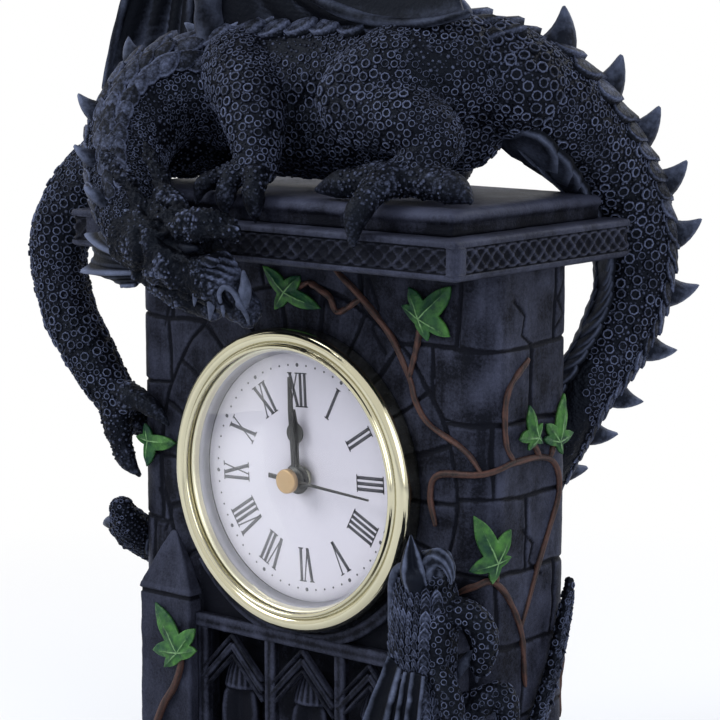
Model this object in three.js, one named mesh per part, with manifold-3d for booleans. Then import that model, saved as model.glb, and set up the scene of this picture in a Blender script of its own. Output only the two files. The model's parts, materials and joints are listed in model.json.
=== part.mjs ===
// Dragon clock: a dragon lies over a small gothic tower, and a press-in quartz clock sits in the tower's front.
// Millimetres. The origin is the centre of the felt base, +X is the viewer's right, -Y the front, +Z up.
import * as THREE from 'three';
import { mergeVertices } from 'three/addons/utils/BufferGeometryUtils.js';
import Module from 'manifold-3d';

const wasm = await Module();
wasm.setup();

// Clearances
const SEAT = 0.3;          // glued or resting pieces
const RUN = 0.28;          // turning pieces
const FELT = 1.2;
const WELD = 0.005;

// Masonry
const TOWER = { halfWidth: 55.6, front: -16.5, back: 16.5, corner: 6.5 };
const PLINTH = { halfWidth: TOWER.halfWidth + 8.4, front: -36, back: 35, corner: 2.5 };
const CORNICE = { halfWidth: TOWER.halfWidth + 5, front: -35, back: 34, corner: 1.2 };
const SLAB = { halfWidth: CORNICE.halfWidth - 5.1, front: -30, back: 29, corner: 1.2 };
const PLINTH_STEP = 8;     // height of each of the two base steps
const STEP_IN = 7;
const TOWER_HEIGHT = 140.7;
const CORNICE_HEIGHT = 9.3;
const FRIEZE = { height: 6.2, depth: 0.9 };
const SLAB_HEIGHT = 5.75;
const SLAB_NOSE = 1.6;

// Heights of the stacked stones
const FELT_TOP = FELT + SEAT;
const BASE_TOP = FELT_TOP + 2 * PLINTH_STEP;
const TOWER_FOOT = BASE_TOP + SEAT;
const TOWER_TOP = TOWER_FOOT + TOWER_HEIGHT;
const CORNICE_FOOT = TOWER_TOP + SEAT;
const CORNICE_TOP = CORNICE_FOOT + CORNICE_HEIGHT;
const SLAB_FOOT = CORNICE_TOP + SEAT;
const SLAB_TOP = SLAB_FOOT + SLAB_HEIGHT;

// Stone courses
const COURSE = 17.5;
const JOINT = { width: 1.1, depth: 1.0 };

// Clock insert, all turned parts on the dial axis
const DIAL_DROP = 53.5;    // from the tower's top to the dial's centre
const DIAL_HEIGHT = TOWER_TOP - DIAL_DROP;
const DIAL_TURN = 3.1;     // degrees, the dial sits slightly turned
const DIAL = { radius: 30.4, thickness: 0.5, hole: 2.9 };
const REFLECTOR = { outer: DIAL.radius + 0.7, top: DIAL.radius + 0.2, bottom: DIAL.radius - 1.1 };
const LENS = { radius: DIAL.radius + 0.8, clear: DIAL.radius - 0.6, edge: 5, dome: 3, thickness: 0.9 };
const CUP = { radius: LENS.radius + 0.8, wall: 1.3, depth: 16.2 };
const BEZEL = { radius: LENS.radius + 4.8, height: 7.6, lip: LENS.radius - 0.9, back: -0.2 };
const GRIP_RING = { thickness: 1, width: 9, ribs: 2, start: 3.5 };
const REAR_BORE = 24;
const BORE_DEPTH = 20;

// Window bay between the buttresses, with its rail below the bezel
const RAIL = { height: 4.1, depth: 3, gap: 1.65 };
const BAY = {
  halfWidth: 34.4,
  depth: 7,
  sill: BASE_TOP + 6.5,
  rail: DIAL_HEIGHT - BEZEL.radius - RAIL.gap - RAIL.height / 2,
};
const MULLION = { width: 3.2, depth: 3 };
const WINDOWS = 3;
const WINDOW_PITCH = (2 * BAY.halfWidth - MULLION.width) / WINDOWS;
const GABLE = { rise: 10.4, width: 2, rows: 2, drop: 3.5, pitch: 3.6 };
const BUTTRESS = { depth: 4.5, shoulder: BAY.rail + 8.7, cap: 12, shy: 1.5 };
const FIGURE = { headroom: 9, radius: 6.2, standOff: 3 };
const ARCH = { radius: BEZEL.radius + 4, width: 2.8 };

// Movement depths behind the dial's face, front to back
const PLATE = { radius: DIAL.radius - 0.8, thickness: 1.2, front: 0.8 };
const GEAR_PLATE = { radius: CUP.radius - CUP.wall - 8.7, front: 12.4, thickness: 1 };
const WHEEL = 0.8;
const PINION = 1.2;
const LAYER = { hour: 2.5, motion: 3.9, centre: 5.4, third: 6.7, second: 8, fifth: 9.3, magnet: 10.6 };
const ARBOR = 0.42;
const MINUTE_PIPE = { inner: 0.78, outer: 1.3 };
const HOUR_PIPE = { inner: 1.66, outer: 2.25 };

// Wheel trains: teeth and modules
const TOOTH = { addendum: 0.68, dedendum: 1, root: 0.21 };
const TRAIN = {
  rotor: { pinion: 6, wheel: 30, module: 0.35 },
  fifth: { pinion: 6, wheel: 36, module: 0.4 },
  second: { pinion: 6, wheel: 45, module: 0.35 },
  third: { pinion: 6, wheel: 48, module: 0.3306 },
  cannon: { pinion: 10, wheel: 30, module: 0.45 },
  minute: { pinion: 8, wheel: 32, module: 0.45 },
};
const ARBOR_ANGLE = { third: 100, fifth: 280, rotor: 235, minute: 190 };   // degrees round the dial axis

// Hands
const HANDS = {
  hour: { gap: 1.6, length: 17, width: 1.5, boss: 3.7, bulge: 2.6, bulgeAt: 11.2 },
  minute: { gap: 2.8, length: 25, width: 1.1, boss: 3.1 },
  second: { gap: 4, length: 24.4, width: 0.5, boss: 1.6, tail: 7 },
};
const HAND = 0.45;         // thickness
const SECOND_ANGLE = 97;   // degrees past twelve
const HUB = { radius: 3, height: 1.7 };

// Battery and setting
const CELL = { radius: 5.8, thickness: 5.4, x: 15.5, z: 3 };
const CELL_COVER = { radius: 6.8, slot: 1.4 };
const KNOB = { radius: 4.2, height: 2.2, shaft: 1.1 };
const BOARD = { left: 9.4, right: 25, halfHeight: 9.8, thickness: 0.8 };
const COIL = { radius: 2.2, flange: 2.8, z: CUP.wall + 5.5 - CUP.radius };
const STATOR = { left: -11, right: 8, top: -10.2, leg: 3, thickness: 0.6 };
const MAGNET = { radius: 2.4, thickness: 1.5 };

// Ivy
const PULL_ROOM = 1.2;     // left free round the bezel where the insert comes out
const VINE = 0.85;
const LEAF = { size: 8.4, thickness: 1.1 };

const ROUND = 30;          // sides of the large turned parts

const DIAL_FACE = TOWER.front - SEAT + BEZEL.back;
const BORE = CUP.radius + SEAT + GRIP_RING.thickness + SEAT;

// Solids and joins

function meshData(points, faces) {
  const geometry = new THREE.BufferGeometry();
  geometry.setAttribute('position', new THREE.Float32BufferAttribute(points.flatMap((p) => [p.x, p.y, p.z]), 3));
  geometry.setIndex(faces);
  return geometry;
}

function volumeOf(points, faces) {
  let sum = 0;
  const normal = new THREE.Vector3();
  for (let i = 0; i < faces.length; i += 3) {
    const [a, b, c] = faces.slice(i, i + 3).map((k) => points[k]);
    sum += a.dot(normal.crossVectors(b, c));
  }
  return sum;
}

// Rings of equal length joined by quads and closed by a fan at each end.
function loft(rings) {
  const count = rings[0].length;
  const points = rings.flat();
  const centre = (ring) => ring.reduce((sum, p) => sum.add(p), new THREE.Vector3()).divideScalar(count);
  const first = points.push(centre(rings[0])) - 1;
  const last = points.push(centre(rings.at(-1))) - 1;
  const end = (rings.length - 1) * count;
  const faces = [];
  for (let j = 0; j < count; j++) {
    const next = (j + 1) % count;
    for (let base = 0; base < end; base += count) {
      const up = base + count;
      faces.push(base + j, base + next, up + next, base + j, up + next, up + j);
    }
    faces.push(first, next, j, last, end + j, end + next);
  }
  if (volumeOf(points, faces) < 0) faces.reverse();
  return meshData(points, faces);
}

function toSolid(shape) {
  if (!shape.isBufferGeometry) return shape;
  const bare = shape.clone();
  bare.deleteAttribute('normal');
  bare.deleteAttribute('uv');
  const merged = mergeVertices(bare, 1e-5);
  return new wasm.Manifold(new wasm.Mesh({
    numProp: 3,
    vertProperties: new Float32Array(merged.attributes.position.array),
    triVerts: new Uint32Array(merged.index.array),
  }));
}

function join(...shapes) {
  return shapes.flat().map(toSolid).reduce((sum, shape) => sum.add(shape));
}

function cut(shape, ...tools) {
  return tools.flat().reduce((rest, tool) => rest.subtract(toSolid(tool)), toSolid(shape));
}

// The largest body that a cut leaves.
function mainBody(solid) {
  return solid.decompose().sort((a, b) => b.volume() - a.volume())[0];
}

// Welds corners that a cut leaves closer together than WELD, and drops the slivers between them.
function toGeometry(shape) {
  if (shape.isBufferGeometry) return shape;
  const mesh = shape.getMesh();
  const geometry = new THREE.BufferGeometry();
  geometry.setAttribute('position', new THREE.Float32BufferAttribute(mesh.vertProperties, 3));
  geometry.setIndex(new THREE.Uint32BufferAttribute(mesh.triVerts, 1));
  const welded = mergeVertices(geometry, WELD);
  const corners = Array.from(welded.index.array);
  const faces = Array.from({ length: corners.length / 3 }, (_, i) => corners.slice(3 * i, 3 * i + 3))
    .filter(([a, b, c]) => a !== b && b !== c && a !== c);
  return welded.setIndex(faces.flat());
}

const at = (x, y, z) => new THREE.Vector3(x, y, z);
const radians = THREE.MathUtils.degToRad;

function box(x0, x1, y0, y1, z0, z1) {
  return new THREE.BoxGeometry(x1 - x0, y1 - y0, z1 - z0)
    .translate((x0 + x1) / 2, (y0 + y1) / 2, (z0 + z1) / 2);
}

// A ring of plan points, drawn in by inset.
function planRing(plan, z, inset, steps = 3) {
  const radius = Math.max(plan.corner - inset, 0.15);
  const x = plan.halfWidth - inset - radius;
  const corners = [[x, plan.back - inset - radius, 0], [-x, plan.back - inset - radius, 90],
    [-x, plan.front + inset + radius, 180], [x, plan.front + inset + radius, 270]];
  return corners.flatMap(([cx, cy, start]) => Array.from({ length: steps + 1 }, (_, i) => {
    const angle = radians(start + (90 * i) / steps);
    return at(cx + radius * Math.cos(angle), cy + radius * Math.sin(angle), z);
  }));
}

// A block of rounded plan whose side follows a profile of [height, inset] levels.
function steppedBlock(plan, profile, grow = 0) {
  const lastLevel = profile.length - 1;
  return loft(profile.map(([z, inset], i) => {
    const lift = i === 0 ? -grow : i === lastLevel ? grow : 0;
    return planRing(plan, z + lift, inset - grow);
  }));
}

// A profile [radius, distance in front of the dial] revolved round the dial axis.
function turned(profile, segments = 32) {
  const points = profile.map(([r, front]) => new THREE.Vector2(r, DIAL_FACE - front));
  const closed = points[0].x === 0 ? points : [...points, points[0].clone()];
  const flat = [];
  const faces = [];
  const onAxis = (p) => p.x === 0;
  const rows = closed.slice(0, points[0].x === 0 ? undefined : -1).map((p) => {
    const start = flat.length;
    const count = onAxis(p) ? 1 : segments;
    for (let j = 0; j < count; j++) {
      const angle = (2 * Math.PI * j) / segments;
      flat.push(at(p.x * Math.cos(angle), p.y, DIAL_HEIGHT + p.x * Math.sin(angle)));
    }
    return { start, count };
  });
  const pairs = rows.slice(1).map((row, i) => [rows[i], row]);
  if (points[0].x !== 0) pairs.push([rows.at(-1), rows[0]]);
  for (const [low, high] of pairs) {
    for (let j = 0; j < segments; j++) {
      const next = (j + 1) % segments;
      const a = low.start + (low.count > 1 ? j : 0);
      const b = low.start + (low.count > 1 ? next : 0);
      const c = high.start + (high.count > 1 ? next : 0);
      const d = high.start + (high.count > 1 ? j : 0);
      if (low.count > 1) faces.push(a, b, c);
      if (high.count > 1) faces.push(a, c, d);
    }
  }
  if (volumeOf(flat, faces) < 0) faces.reverse();
  return meshData(flat, faces);
}

const disc = (radius, front, back, segments) => (
  turned([[0, front], [radius, front], [radius, back], [0, back]], segments));
const ring = (inner, outer, front, back, segments) =>
  turned([[inner, front], [outer, front], [outer, back], [inner, back]], segments);

// Moves a part that was turned on the dial axis to another axis, given from the dial's centre.
const shifted = (shape, [x, z]) => shape.clone().translate(x, 0, z);

// A flat outline in the dial plane, x right and y up from the dial centre, between two depths.
function flatPart(shape, front, back) {
  return new THREE.ExtrudeGeometry(shape, { depth: front - back, bevelEnabled: false, curveSegments: 8 })
    .rotateX(Math.PI / 2)
    .translate(0, DIAL_FACE - back, DIAL_HEIGHT);
}

// Limbs, bones, stems and claws: a tube of changing radius through stations [x, y, z, radius], with round ends.
function limb(stations, { sides = 6, steps = 1, grow = 0 } = {}) {
  const curve = new THREE.CatmullRomCurve3(stations.map(([x, y, z]) => at(x, y, z)), false, 'centripetal');
  const spans = stations.length - 1;
  const total = spans * steps;
  const radiusAt = (t) => {
    const span = Math.min(Math.floor(t * spans), spans - 1);
    const part = THREE.MathUtils.smoothstep(t * spans - span, 0, 1);
    return THREE.MathUtils.lerp(stations[span][3], stations[span + 1][3], part) + grow;
  };
  const path = Array.from({ length: total + 1 }, (_, i) => {
    const t = i / total;
    return { centre: curve.getPoint(t), along: curve.getTangent(t), radius: radiusAt(t) };
  });
  const cap = (from, sign) => [[0.7, 0.6]].map(([lift, share]) => ({
    centre: from.centre.clone().addScaledVector(from.along, sign * lift * from.radius),
    along: from.along,
    radius: share * from.radius,
  }));
  const rows = [...cap(path[0], -1).reverse(), ...path, ...cap(path.at(-1), 1)];
  let across = Math.abs(rows[0].along.z) > 0.9 ? at(1, 0, 0) : at(0, 0, 1);
  return loft(rows.map(({ centre, along, radius }) => {
    across = across.clone().addScaledVector(along, -across.dot(along)).normalize();
    const side = new THREE.Vector3().crossVectors(along, across);
    return Array.from({ length: sides }, (_, j) => {
      const angle = (2 * Math.PI * j) / sides;
      return centre.clone().addScaledVector(across, radius * Math.cos(angle))
        .addScaledVector(side, radius * Math.sin(angle));
    });
  }));
}

const claw = (stations) => limb(stations, { sides: 4 });

function pyramid(base, tip) {
  const faces = base.flatMap((_, i) => [i, (i + 1) % base.length, base.length]);
  for (let i = 1; i < base.length - 1; i++) faces.push(0, i + 1, i);
  const points = [...base, tip];
  if (volumeOf(points, faces) < 0) faces.reverse();
  return meshData(points, faces);
}

// A row of pointed plates along a limb: each is a thin pyramid that leans back from the limb's skin.
function crest(stations, count, { from = 0.05, to = 0.95, outward, height, lean = 0.35, thickness = 1.4 }) {
  const curve = new THREE.CatmullRomCurve3(stations.map(([x, y, z]) => at(x, y, z)), false, 'centripetal');
  const spans = stations.length - 1;
  return Array.from({ length: count }, (_, i) => {
    const t = from + ((to - from) * i) / Math.max(count - 1, 1);
    const along = curve.getTangent(t);
    const out = outward.clone().addScaledVector(along, -outward.dot(along)).normalize();
    const side = new THREE.Vector3().crossVectors(along, out).multiplyScalar(thickness);
    const span = Math.min(Math.floor(t * spans), spans - 1);
    const radius = THREE.MathUtils.lerp(stations[span][3], stations[span + 1][3], t * spans - span);
    const root = curve.getPoint(t).addScaledVector(out, radius * 0.75);
    const half = along.clone().multiplyScalar(height * 0.55);
    const tip = root.clone().addScaledVector(out, radius * 0.25 + height).addScaledVector(along, height * lean);
    return pyramid([root.clone().add(half), root.clone().add(side), root.clone().sub(half), root.clone().sub(side)],
      tip);
  });
}

// A thin curved sheet p(u, v) over a grid, thickened along a fixed direction.
function sheet(surface, rows, columns, thickness) {
  const layer = (sign) => Array.from({ length: rows + 1 }, (_, i) => Array.from({ length: columns + 1 }, (__, j) => (
    surface(i / rows, j / columns).addScaledVector(thickness, sign / 2))));
  const edge = (grid) => [...grid[0], ...grid.slice(1).map((row) => row[columns]),
    ...grid[rows].slice(0, -1).reverse(), ...grid.slice(1, -1).reverse().map((row) => row[0])];
  const [low, high] = [layer(-1), layer(1)];
  const points = [...low.flat(), ...high.flat()];
  const width = columns + 1;
  const size = width * (rows + 1);
  const faces = [];
  for (let i = 0; i < rows; i++) {
    for (let j = 0; j < columns; j++) {
      const a = i * width + j;
      faces.push(a, a + 1, a + width + 1, a, a + width + 1, a + width);
      faces.push(size + a, size + a + width + 1, size + a + 1, size + a, size + a + width, size + a + width + 1);
    }
  }
  const rim = edge(low).map((p) => points.indexOf(p));
  rim.forEach((a, k) => {
    const b = rim[(k + 1) % rim.length];
    faces.push(a, b + size, b, a, a + size, b + size);
  });
  if (volumeOf(points, faces) < 0) faces.reverse();
  return meshData(points, faces);
}

// Tower, base and cap

const feltSheet = () => steppedBlock(PLINTH, [[0, 1.5], [FELT, 1.5]]);

const plinth = (grow = 0) => steppedBlock(PLINTH, [[FELT_TOP, 0.6], [FELT_TOP + 1, 0],
  [FELT_TOP + PLINTH_STEP - 1.5, 0], [FELT_TOP + PLINTH_STEP, 1.5], [FELT_TOP + PLINTH_STEP + 0.5, STEP_IN],
  [BASE_TOP - 1.2, STEP_IN], [BASE_TOP, STEP_IN + 1.2]], grow);

const towerBlock = (grow = 0) => steppedBlock(TOWER, [[TOWER_FOOT, 0], [TOWER_TOP, 0]], grow);

// Bed joints cross both sides and the back, and upright joints are staggered from one course to the next.
function stoneJoints() {
  const { halfWidth, front, back, corner } = TOWER;
  const half = JOINT.width / 2;
  const courses = Math.floor((TOWER_HEIGHT - COURSE / 2) / COURSE);
  const levels = Array.from({ length: courses }, (_, i) => TOWER_TOP - COURSE * (i + 1));
  const skin = (side) => [side * halfWidth - JOINT.depth, side * halfWidth + JOINT.depth];
  const beds = levels.flatMap((z) => [-1, 1].map((side) => box(...skin(side), front + corner, back - corner,
    z - half, z + half)));
  const rears = levels.map((z) => box(corner - halfWidth, halfWidth - corner, back - JOINT.depth, back + 1,
    z - half, z + half));
  const uprights = levels.flatMap((z, i) => [-1, 1].map((side) => {
    const y = (i % 2 ? 0.35 : -0.3) * back;
    return box(...skin(side), y - half, y + half, z, z + COURSE);
  }));
  return [...beds, ...rears, ...uprights];
}

function towerCasting() {
  const bore = disc(BORE, BUTTRESS.depth, -BORE_DEPTH, ROUND);
  const rear = disc(REAR_BORE, BUTTRESS.depth, DIAL_FACE - TOWER.back - 1, 24);
  const bay = box(-BAY.halfWidth, BAY.halfWidth, TOWER.front - 1, TOWER.front + BAY.depth, BAY.sill,
    BAY.rail - RAIL.height / 2);
  return cut(towerBlock(), bore, rear, bay, stoneJoints());
}

// Buttress beside the window bay, with a half pyramid of stone that leans on the wall.
function buttress(side, grow = 0) {
  const inner = BAY.halfWidth + SEAT;
  const plan = {
    halfWidth: (TOWER.halfWidth - BUTTRESS.shy - inner) / 2,
    front: TOWER.front - SEAT - BUTTRESS.depth,
    back: TOWER.front - SEAT,
    corner: 0.6,
  };
  const tip = { halfWidth: 0.8, front: plan.back - 1, back: plan.back, corner: 0.3 };
  return loft([planRing(plan, TOWER_FOOT - grow, -grow), planRing(plan, BUTTRESS.shoulder + grow, -grow),
    planRing(tip, BUTTRESS.shoulder + BUTTRESS.cap + grow, -grow)]).translate(side * (inner + plan.halfWidth), 0, 0);
}

// Rail, mullions and pointed double gables of the three windows.
function windowTracery() {
  const front = TOWER.front - RAIL.depth;
  const back = TOWER.front - SEAT;
  const left = (i) => -BAY.halfWidth + SEAT + i * WINDOW_PITCH;
  const mullions = Array.from({ length: WINDOWS + 1 }, (_, i) => {
    const x = Math.min(left(i), BAY.halfWidth - SEAT - MULLION.width);
    return box(x, x + MULLION.width, front + 0.4, back, BAY.sill, BAY.rail);
  });
  const gables = Array.from({ length: WINDOWS * GABLE.rows * 2 }, (_, k) => {
    const window = Math.floor(k / (GABLE.rows * 2));
    const row = Math.floor(k / 2) % GABLE.rows;
    const side = k % 2 ? 1 : -1;
    const apex = at(left(window) + (WINDOW_PITCH + MULLION.width) / 2, 0,
      BAY.rail - GABLE.drop - row * GABLE.pitch);
    const half = (WINDOW_PITCH - MULLION.width) / 2 + 1;
    const outline = new THREE.Shape([[0, 0], [side * half, -GABLE.rise], [side * half, -GABLE.rise - GABLE.width],
      [0, -GABLE.width]].map(([x, z]) => new THREE.Vector2(apex.x + x, apex.z - DIAL_HEIGHT + z)));
    return flatPart(outline, DIAL_FACE - front - 0.8 - row * 0.5, DIAL_FACE - back);
  });
  const rail = box(-BAY.halfWidth + SEAT, BAY.halfWidth - SEAT, front, back, BAY.rail - RAIL.height / 2,
    BAY.rail + RAIL.height / 2);
  const sill = box(-BAY.halfWidth + SEAT, BAY.halfWidth - SEAT, front, back, BAY.sill - RAIL.height, BAY.sill);
  const spread = Math.asin((BAY.halfWidth - 2) / ARCH.radius);
  const arch = new THREE.Shape()
    .absarc(0, 0, ARCH.radius + ARCH.width / 2, -Math.PI / 2 - spread, -Math.PI / 2 + spread)
    .absarc(0, 0, ARCH.radius - ARCH.width / 2, -Math.PI / 2 + spread, -Math.PI / 2 - spread, true);
  return join(rail, sill, mullions, gables, flatPart(arch, DIAL_FACE - front - 0.4, DIAL_FACE - back));
}

// Three robed figures with empty hoods stand in front of one back panel in the bay.
function hoodedFigures() {
  const back = TOWER.front + BAY.depth - SEAT;
  const foot = BAY.sill + SEAT;
  const top = BAY.rail - RAIL.height / 2 - SEAT;
  const height = top - FIGURE.headroom + SEAT - foot;
  const wide = BAY.halfWidth - SEAT;
  const figures = Array.from({ length: WINDOWS }, (_, i) => {
    const x = -BAY.halfWidth + (i + 0.5) * WINDOW_PITCH + MULLION.width / 2;
    const y = back - FIGURE.standOff;
    const body = limb([[x, y, foot + 3, FIGURE.radius], [x, y, foot + 0.6 * height, 5.2],
      [x, y - 0.2, foot + 0.84 * height, 4.2]]);
    const hood = limb([[x, y - 0.2, foot + 0.78 * height, 4.4], [x, y - 1, foot + height - 2, 2.2]]);
    const face = limb([[x, y - 6, foot + 0.8 * height, 2.3], [x, y - 3.4, foot + 0.8 * height, 2.3]]);
    return cut(join(body, hood), face);
  });
  const room = box(-wide, wide, TOWER.front + 0.2, back, foot, top);
  return join(box(-wide, wide, back - 0.8, back, foot, top), figures).intersect(toSolid(room));
}

const corniceBlock = (grow = 0) => steppedBlock(CORNICE, [[CORNICE_FOOT, 1.5], [CORNICE_FOOT + 0.7, 0],
  [CORNICE_TOP - 0.7, 0], [CORNICE_TOP, 1.2]], grow);

// The frieze band round the cornice is sunk between its edge strips.
function cornice() {
  const low = CORNICE_FOOT + (CORNICE_HEIGHT - FRIEZE.height) / 2;
  const high = low + FRIEZE.height;
  const post = 2.2;
  const { halfWidth, front, back } = CORNICE;
  const panels = [-1, 1].flatMap((side) => [
    box(side * halfWidth - FRIEZE.depth, side * halfWidth + FRIEZE.depth, front + post, back - post, low, high),
    box(-halfWidth + post, halfWidth - post, (side < 0 ? front : back) - FRIEZE.depth,
      (side < 0 ? front : back) + FRIEZE.depth, low, high)]);
  return cut(corniceBlock(), panels);
}

const slab = (grow = 0) => steppedBlock(SLAB, [[SLAB_FOOT, 0], [SLAB_FOOT + 1.6, 0], [SLAB_FOOT + 2, 1],
  [SLAB_FOOT + 3.6, 1], [SLAB_FOOT + 4, 0.3], [SLAB_TOP - 0.8, 0.4], [SLAB_TOP, SLAB_NOSE]], grow);

const masonry = (grow) => [towerBlock(grow), corniceBlock(grow), slab(grow)];

// Dragon, drawn as limbs through stations [x, y, z, radius]. Heights are above its perch on the slab, and the right
// arm's x is measured outwards from the tower's left face, which the arm clasps.
const PERCH = SLAB_TOP - 0.15;
const perched = (stations) => stations.map(([x, y, z, ...radius]) => [x, y, PERCH + z, ...radius]);
const clasping = (stations) => perched(stations.map(([out, ...rest]) => [-TOWER.halfWidth - out, ...rest]));

const SPINE = perched([[46, 8, 26, 12.5], [28, 4, 27.5, 15.5], [6, 1, 27.5, 15.5], [-14, -1, 26.5, 15.5],
  [-34, -4, 23.5, 15.5], [-50, -6, 16, 12]]);
const NECK = perched([[-36, -5, 24, 14], [-43, -14, 22.5, 13.5], [-45, -23, 17.5, 12.5], [-42.5, -31.5, 10.5, 11],
  [-36.5, -39, 2.5, 9.5], [-29, -44.5, -5.5, 8.6]]);
const SKULL = perched([[-25, -46.5, -9.2, 8.6], [-13.5, -47.5, -11.8, 9.4], [-3.5, -46.5, -17.2, 6.4], [3.8, -44.8, -22.2, 5],
  [7.2, -44.2, -25.6, 3.2]]);
const BROW = perched([[-15, -50.5, -5.5, 4], [-8, -51, -5, 5], [-1, -50.5, -5.2, 5], [4, -49, -6, 3.8]]);
const NOSE_HORN = perched([[8.6, -46.6, -22.5, 1.7], [9.7, -47.2, -19, 1.5], [8.8, -47.2, -15.4, 0.5]]);
const JAW = perched([[-20, -47, -17.5, 4.2], [-10, -47.5, -22, 3.4], [-2, -46, -25.6, 2.4]]);
const HORNS = [
  [[-15, -47, -5.5, 3], [-27, -45, 0.5, 2.9], [-36, -42.5, 5.5, 2.3], [-41.5, -40.5, 8.5, 1.4]],
  [[-8, -49, -5, 3], [-15, -47.5, 2, 2.8], [-22, -45, 8, 2.2], [-26, -43.5, 11.4, 1.4]],
].map(perched);
const FRILL = perched([[-24, -46, -14], [-38, -42.5, -2.5], [-48.5, -40.5, -10], [-50.5, -40.5, -19.5],
  [-33, -44, -20.5]]);
const RIGHT_ARM = clasping([[-3.6, -7, 14, 11.5], [9.4, -12, 4.5, 10.5], [17.9, -16, -3, 9.5], [23.4, -19, -12, 8.6],
  [24.2, -20.5, -22, 7.6], [19.4, -21, -36, 7.2], [10.4, -21, -48, 6.6], [3.9, -20.5, -55.5, 5.4]]);
const RIGHT_FINGERS = [
  [[4.4, -20.5, -55, 4.6], [-3.6, -21.3, -54.5, 3.2], [-9.6, -20.5, -57, 2.4], [-12.6, -19, -60.5, 0.9]],
  [[4.4, -20.5, -58, 4.6], [3, -20.5, -66, 3.2], [1, -20, -71.5, 2.4], [-3, -19.4, -75, 0.8]],
  [[5.4, -17, -57, 4.4], [5, -10, -64, 3.1], [4, -4, -68, 2.2], [2.6, 0, -71, 0.8]],
].map(clasping);
const LEFT_ARM = perched([[-24, -10, 28, 12], [-15, -18, 22, 9.5], [-8.5, -23.5, 13, 6.6], [-5.5, -26.5, 6.5, 5.2]]);
const LEFT_FINGERS = [
  [[-5, -27, 6.5, 3.6], [-2, -31, 4.2, 3], [-0.8, -32.8, -1, 2.6], [-0.6, -32.6, -5.4, 0.9]],
  [[-7, -26, 6.5, 3.4], [-9.5, -31, 4.2, 2.8], [-10, -32.8, -1, 2.4], [-9.8, -32.6, -4.4, 0.9]],
  [[-8, -24.5, 6, 3.4], [-15.5, -27, 4, 2.7], [-18.5, -31.5, 2, 2.2], [-19.4, -32.6, -2.5, 0.8]],
].map(perched);
const LEFT_LEG = perched([[34, -2, 30, 14], [25, -11, 27.5, 13.6], [18.5, -18, 22.5, 10.5], [26, -19, 19.5, 9],
  [35, -18.5, 18.5, 8.6], [40.5, -17.5, 14.5, 7.6], [38.5, -20.5, 9, 6], [37, -23, 6.6, 5]]);
const LEFT_TOES = [
  [[36, -24, 6.2, 4.4], [27, -26, 5, 3.6], [19.5, -26.5, 3.8, 3.2], [14, -27, 2.4, 1.2]],
  [[37, -25, 6, 4.4], [35.5, -31, 4.6, 3.6], [33.8, -36.6, -1.4, 3.1], [33, -37.4, -8.2, 1.2]],
  [[38, -23, 6, 4.4], [46, -23.5, 5.4, 3.9], [52, -23.5, 4, 3.4], [56, -24, 2, 1.2]],
].map(perched);
const RIGHT_LEG = perched([[36, 12, 28, 12], [26, 19, 25, 11], [17, 21, 20, 9], [26, 21, 16, 7.6], [32, 21.5, 10, 6],
  [29, 21.5, 5.6, 4.6]]);
const RIGHT_TOES = [
  [[29, 21.5, 5.4, 3.8], [20, 22, 4, 3.2], [12, 22, 2.2, 1.2]],
  [[31, 21, 5.4, 3.8], [42, 22, 4.4, 3.3], [49, 22.5, 2.2, 1.2]],
].map(perched);
const TAIL_UPPER = perched([[40, 6, 29, 13.5], [48, 17, 21.5, 12.6], [51.4, 33, 8.6, 11], [52.8, 45.4, -7.5, 9.8]]);
const TAIL_MIDDLE = perched([[52.8, 45.4, -7.5, 9.8], [53.6, 46, -23.5, 8.8], [54.2, 38, -37.5, 8.2],
  [53.4, 28.4, -50, 7.6]]);
const TAIL_LOWER = [
  ...perched([[53.4, 28.4, -50, 7.6], [48, 26, -66, 7.4], [34, 25, -84, 7], [12, 24.5, -97, 6.6],
    [-14, 24, -103, 6.2], [-40, 23.6, -104, 5.8]]),
  ...clasping([[0.4, 21, -102, 5.4], [6.8, 9, -98, 5.2], [6.4, -5, -93, 4.6], [5, -16, -87, 3.4],
    [2.4, -21, -82, 1.4]]),
];
const WING_THICKNESS = 1.8;
const LEFT_WING = {
  root: [-34, -11, 32], wrist: [-36, -12, 88],
  fingers: [
    { mid: [6, -14, 102], tip: [52, -4, 92] },
    { mid: [16, -14, 88], tip: [63, -5, 66] },
    { mid: [-4, -17, 30], tip: [46, -12.5, 43] },
  ],
};
const RIGHT_WING = {
  root: [-46, 3, 24], wrist: [-54, 16, 88],
  fingers: [
    { mid: [-82, 22, 96], tip: [-90, 24, 58] },
    { mid: [-84, 14, 68], tip: [-87, 4, 22] },
    { mid: [-66, 15, 50], tip: [-66, 13, 34] },
  ],
};

const torso = (grow = 0) => limb(SPINE, { sides: 10, grow });
const neck = (grow = 0) => limb(NECK, { sides: 8, grow });
const skull = (grow = 0) => limb(SKULL, { sides: 8, grow });
const rightArm = (grow = 0) => limb(RIGHT_ARM, { grow });
const leftArm = (grow = 0) => limb(LEFT_ARM, { grow });
const leftLeg = (grow = 0) => limb(LEFT_LEG, { grow });
const rightLeg = (grow = 0) => limb(RIGHT_LEG, { grow });
const tail = (part, grow = 0) => limb(part, { steps: 2, grow });

const dragonBody = (grow) => [torso(grow), neck(grow), leftArm(grow), rightArm(grow), leftLeg(grow),
  tail(TAIL_UPPER, grow)];

function dragonNeck() {
  const plates = crest(NECK, 7, { from: 0.1, outward: at(-0.8, -0.3, 0.9), height: 3.2 });
  return mainBody(cut(join(neck(), plates), torso(SEAT), masonry(SEAT)));
}

function dragonHead() {
  const horns = HORNS.map((horn) => limb(horn));
  return mainBody(cut(join(skull(), limb(BROW), claw(NOSE_HORN), horns), neck(SEAT), masonry(SEAT)));
}

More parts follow.
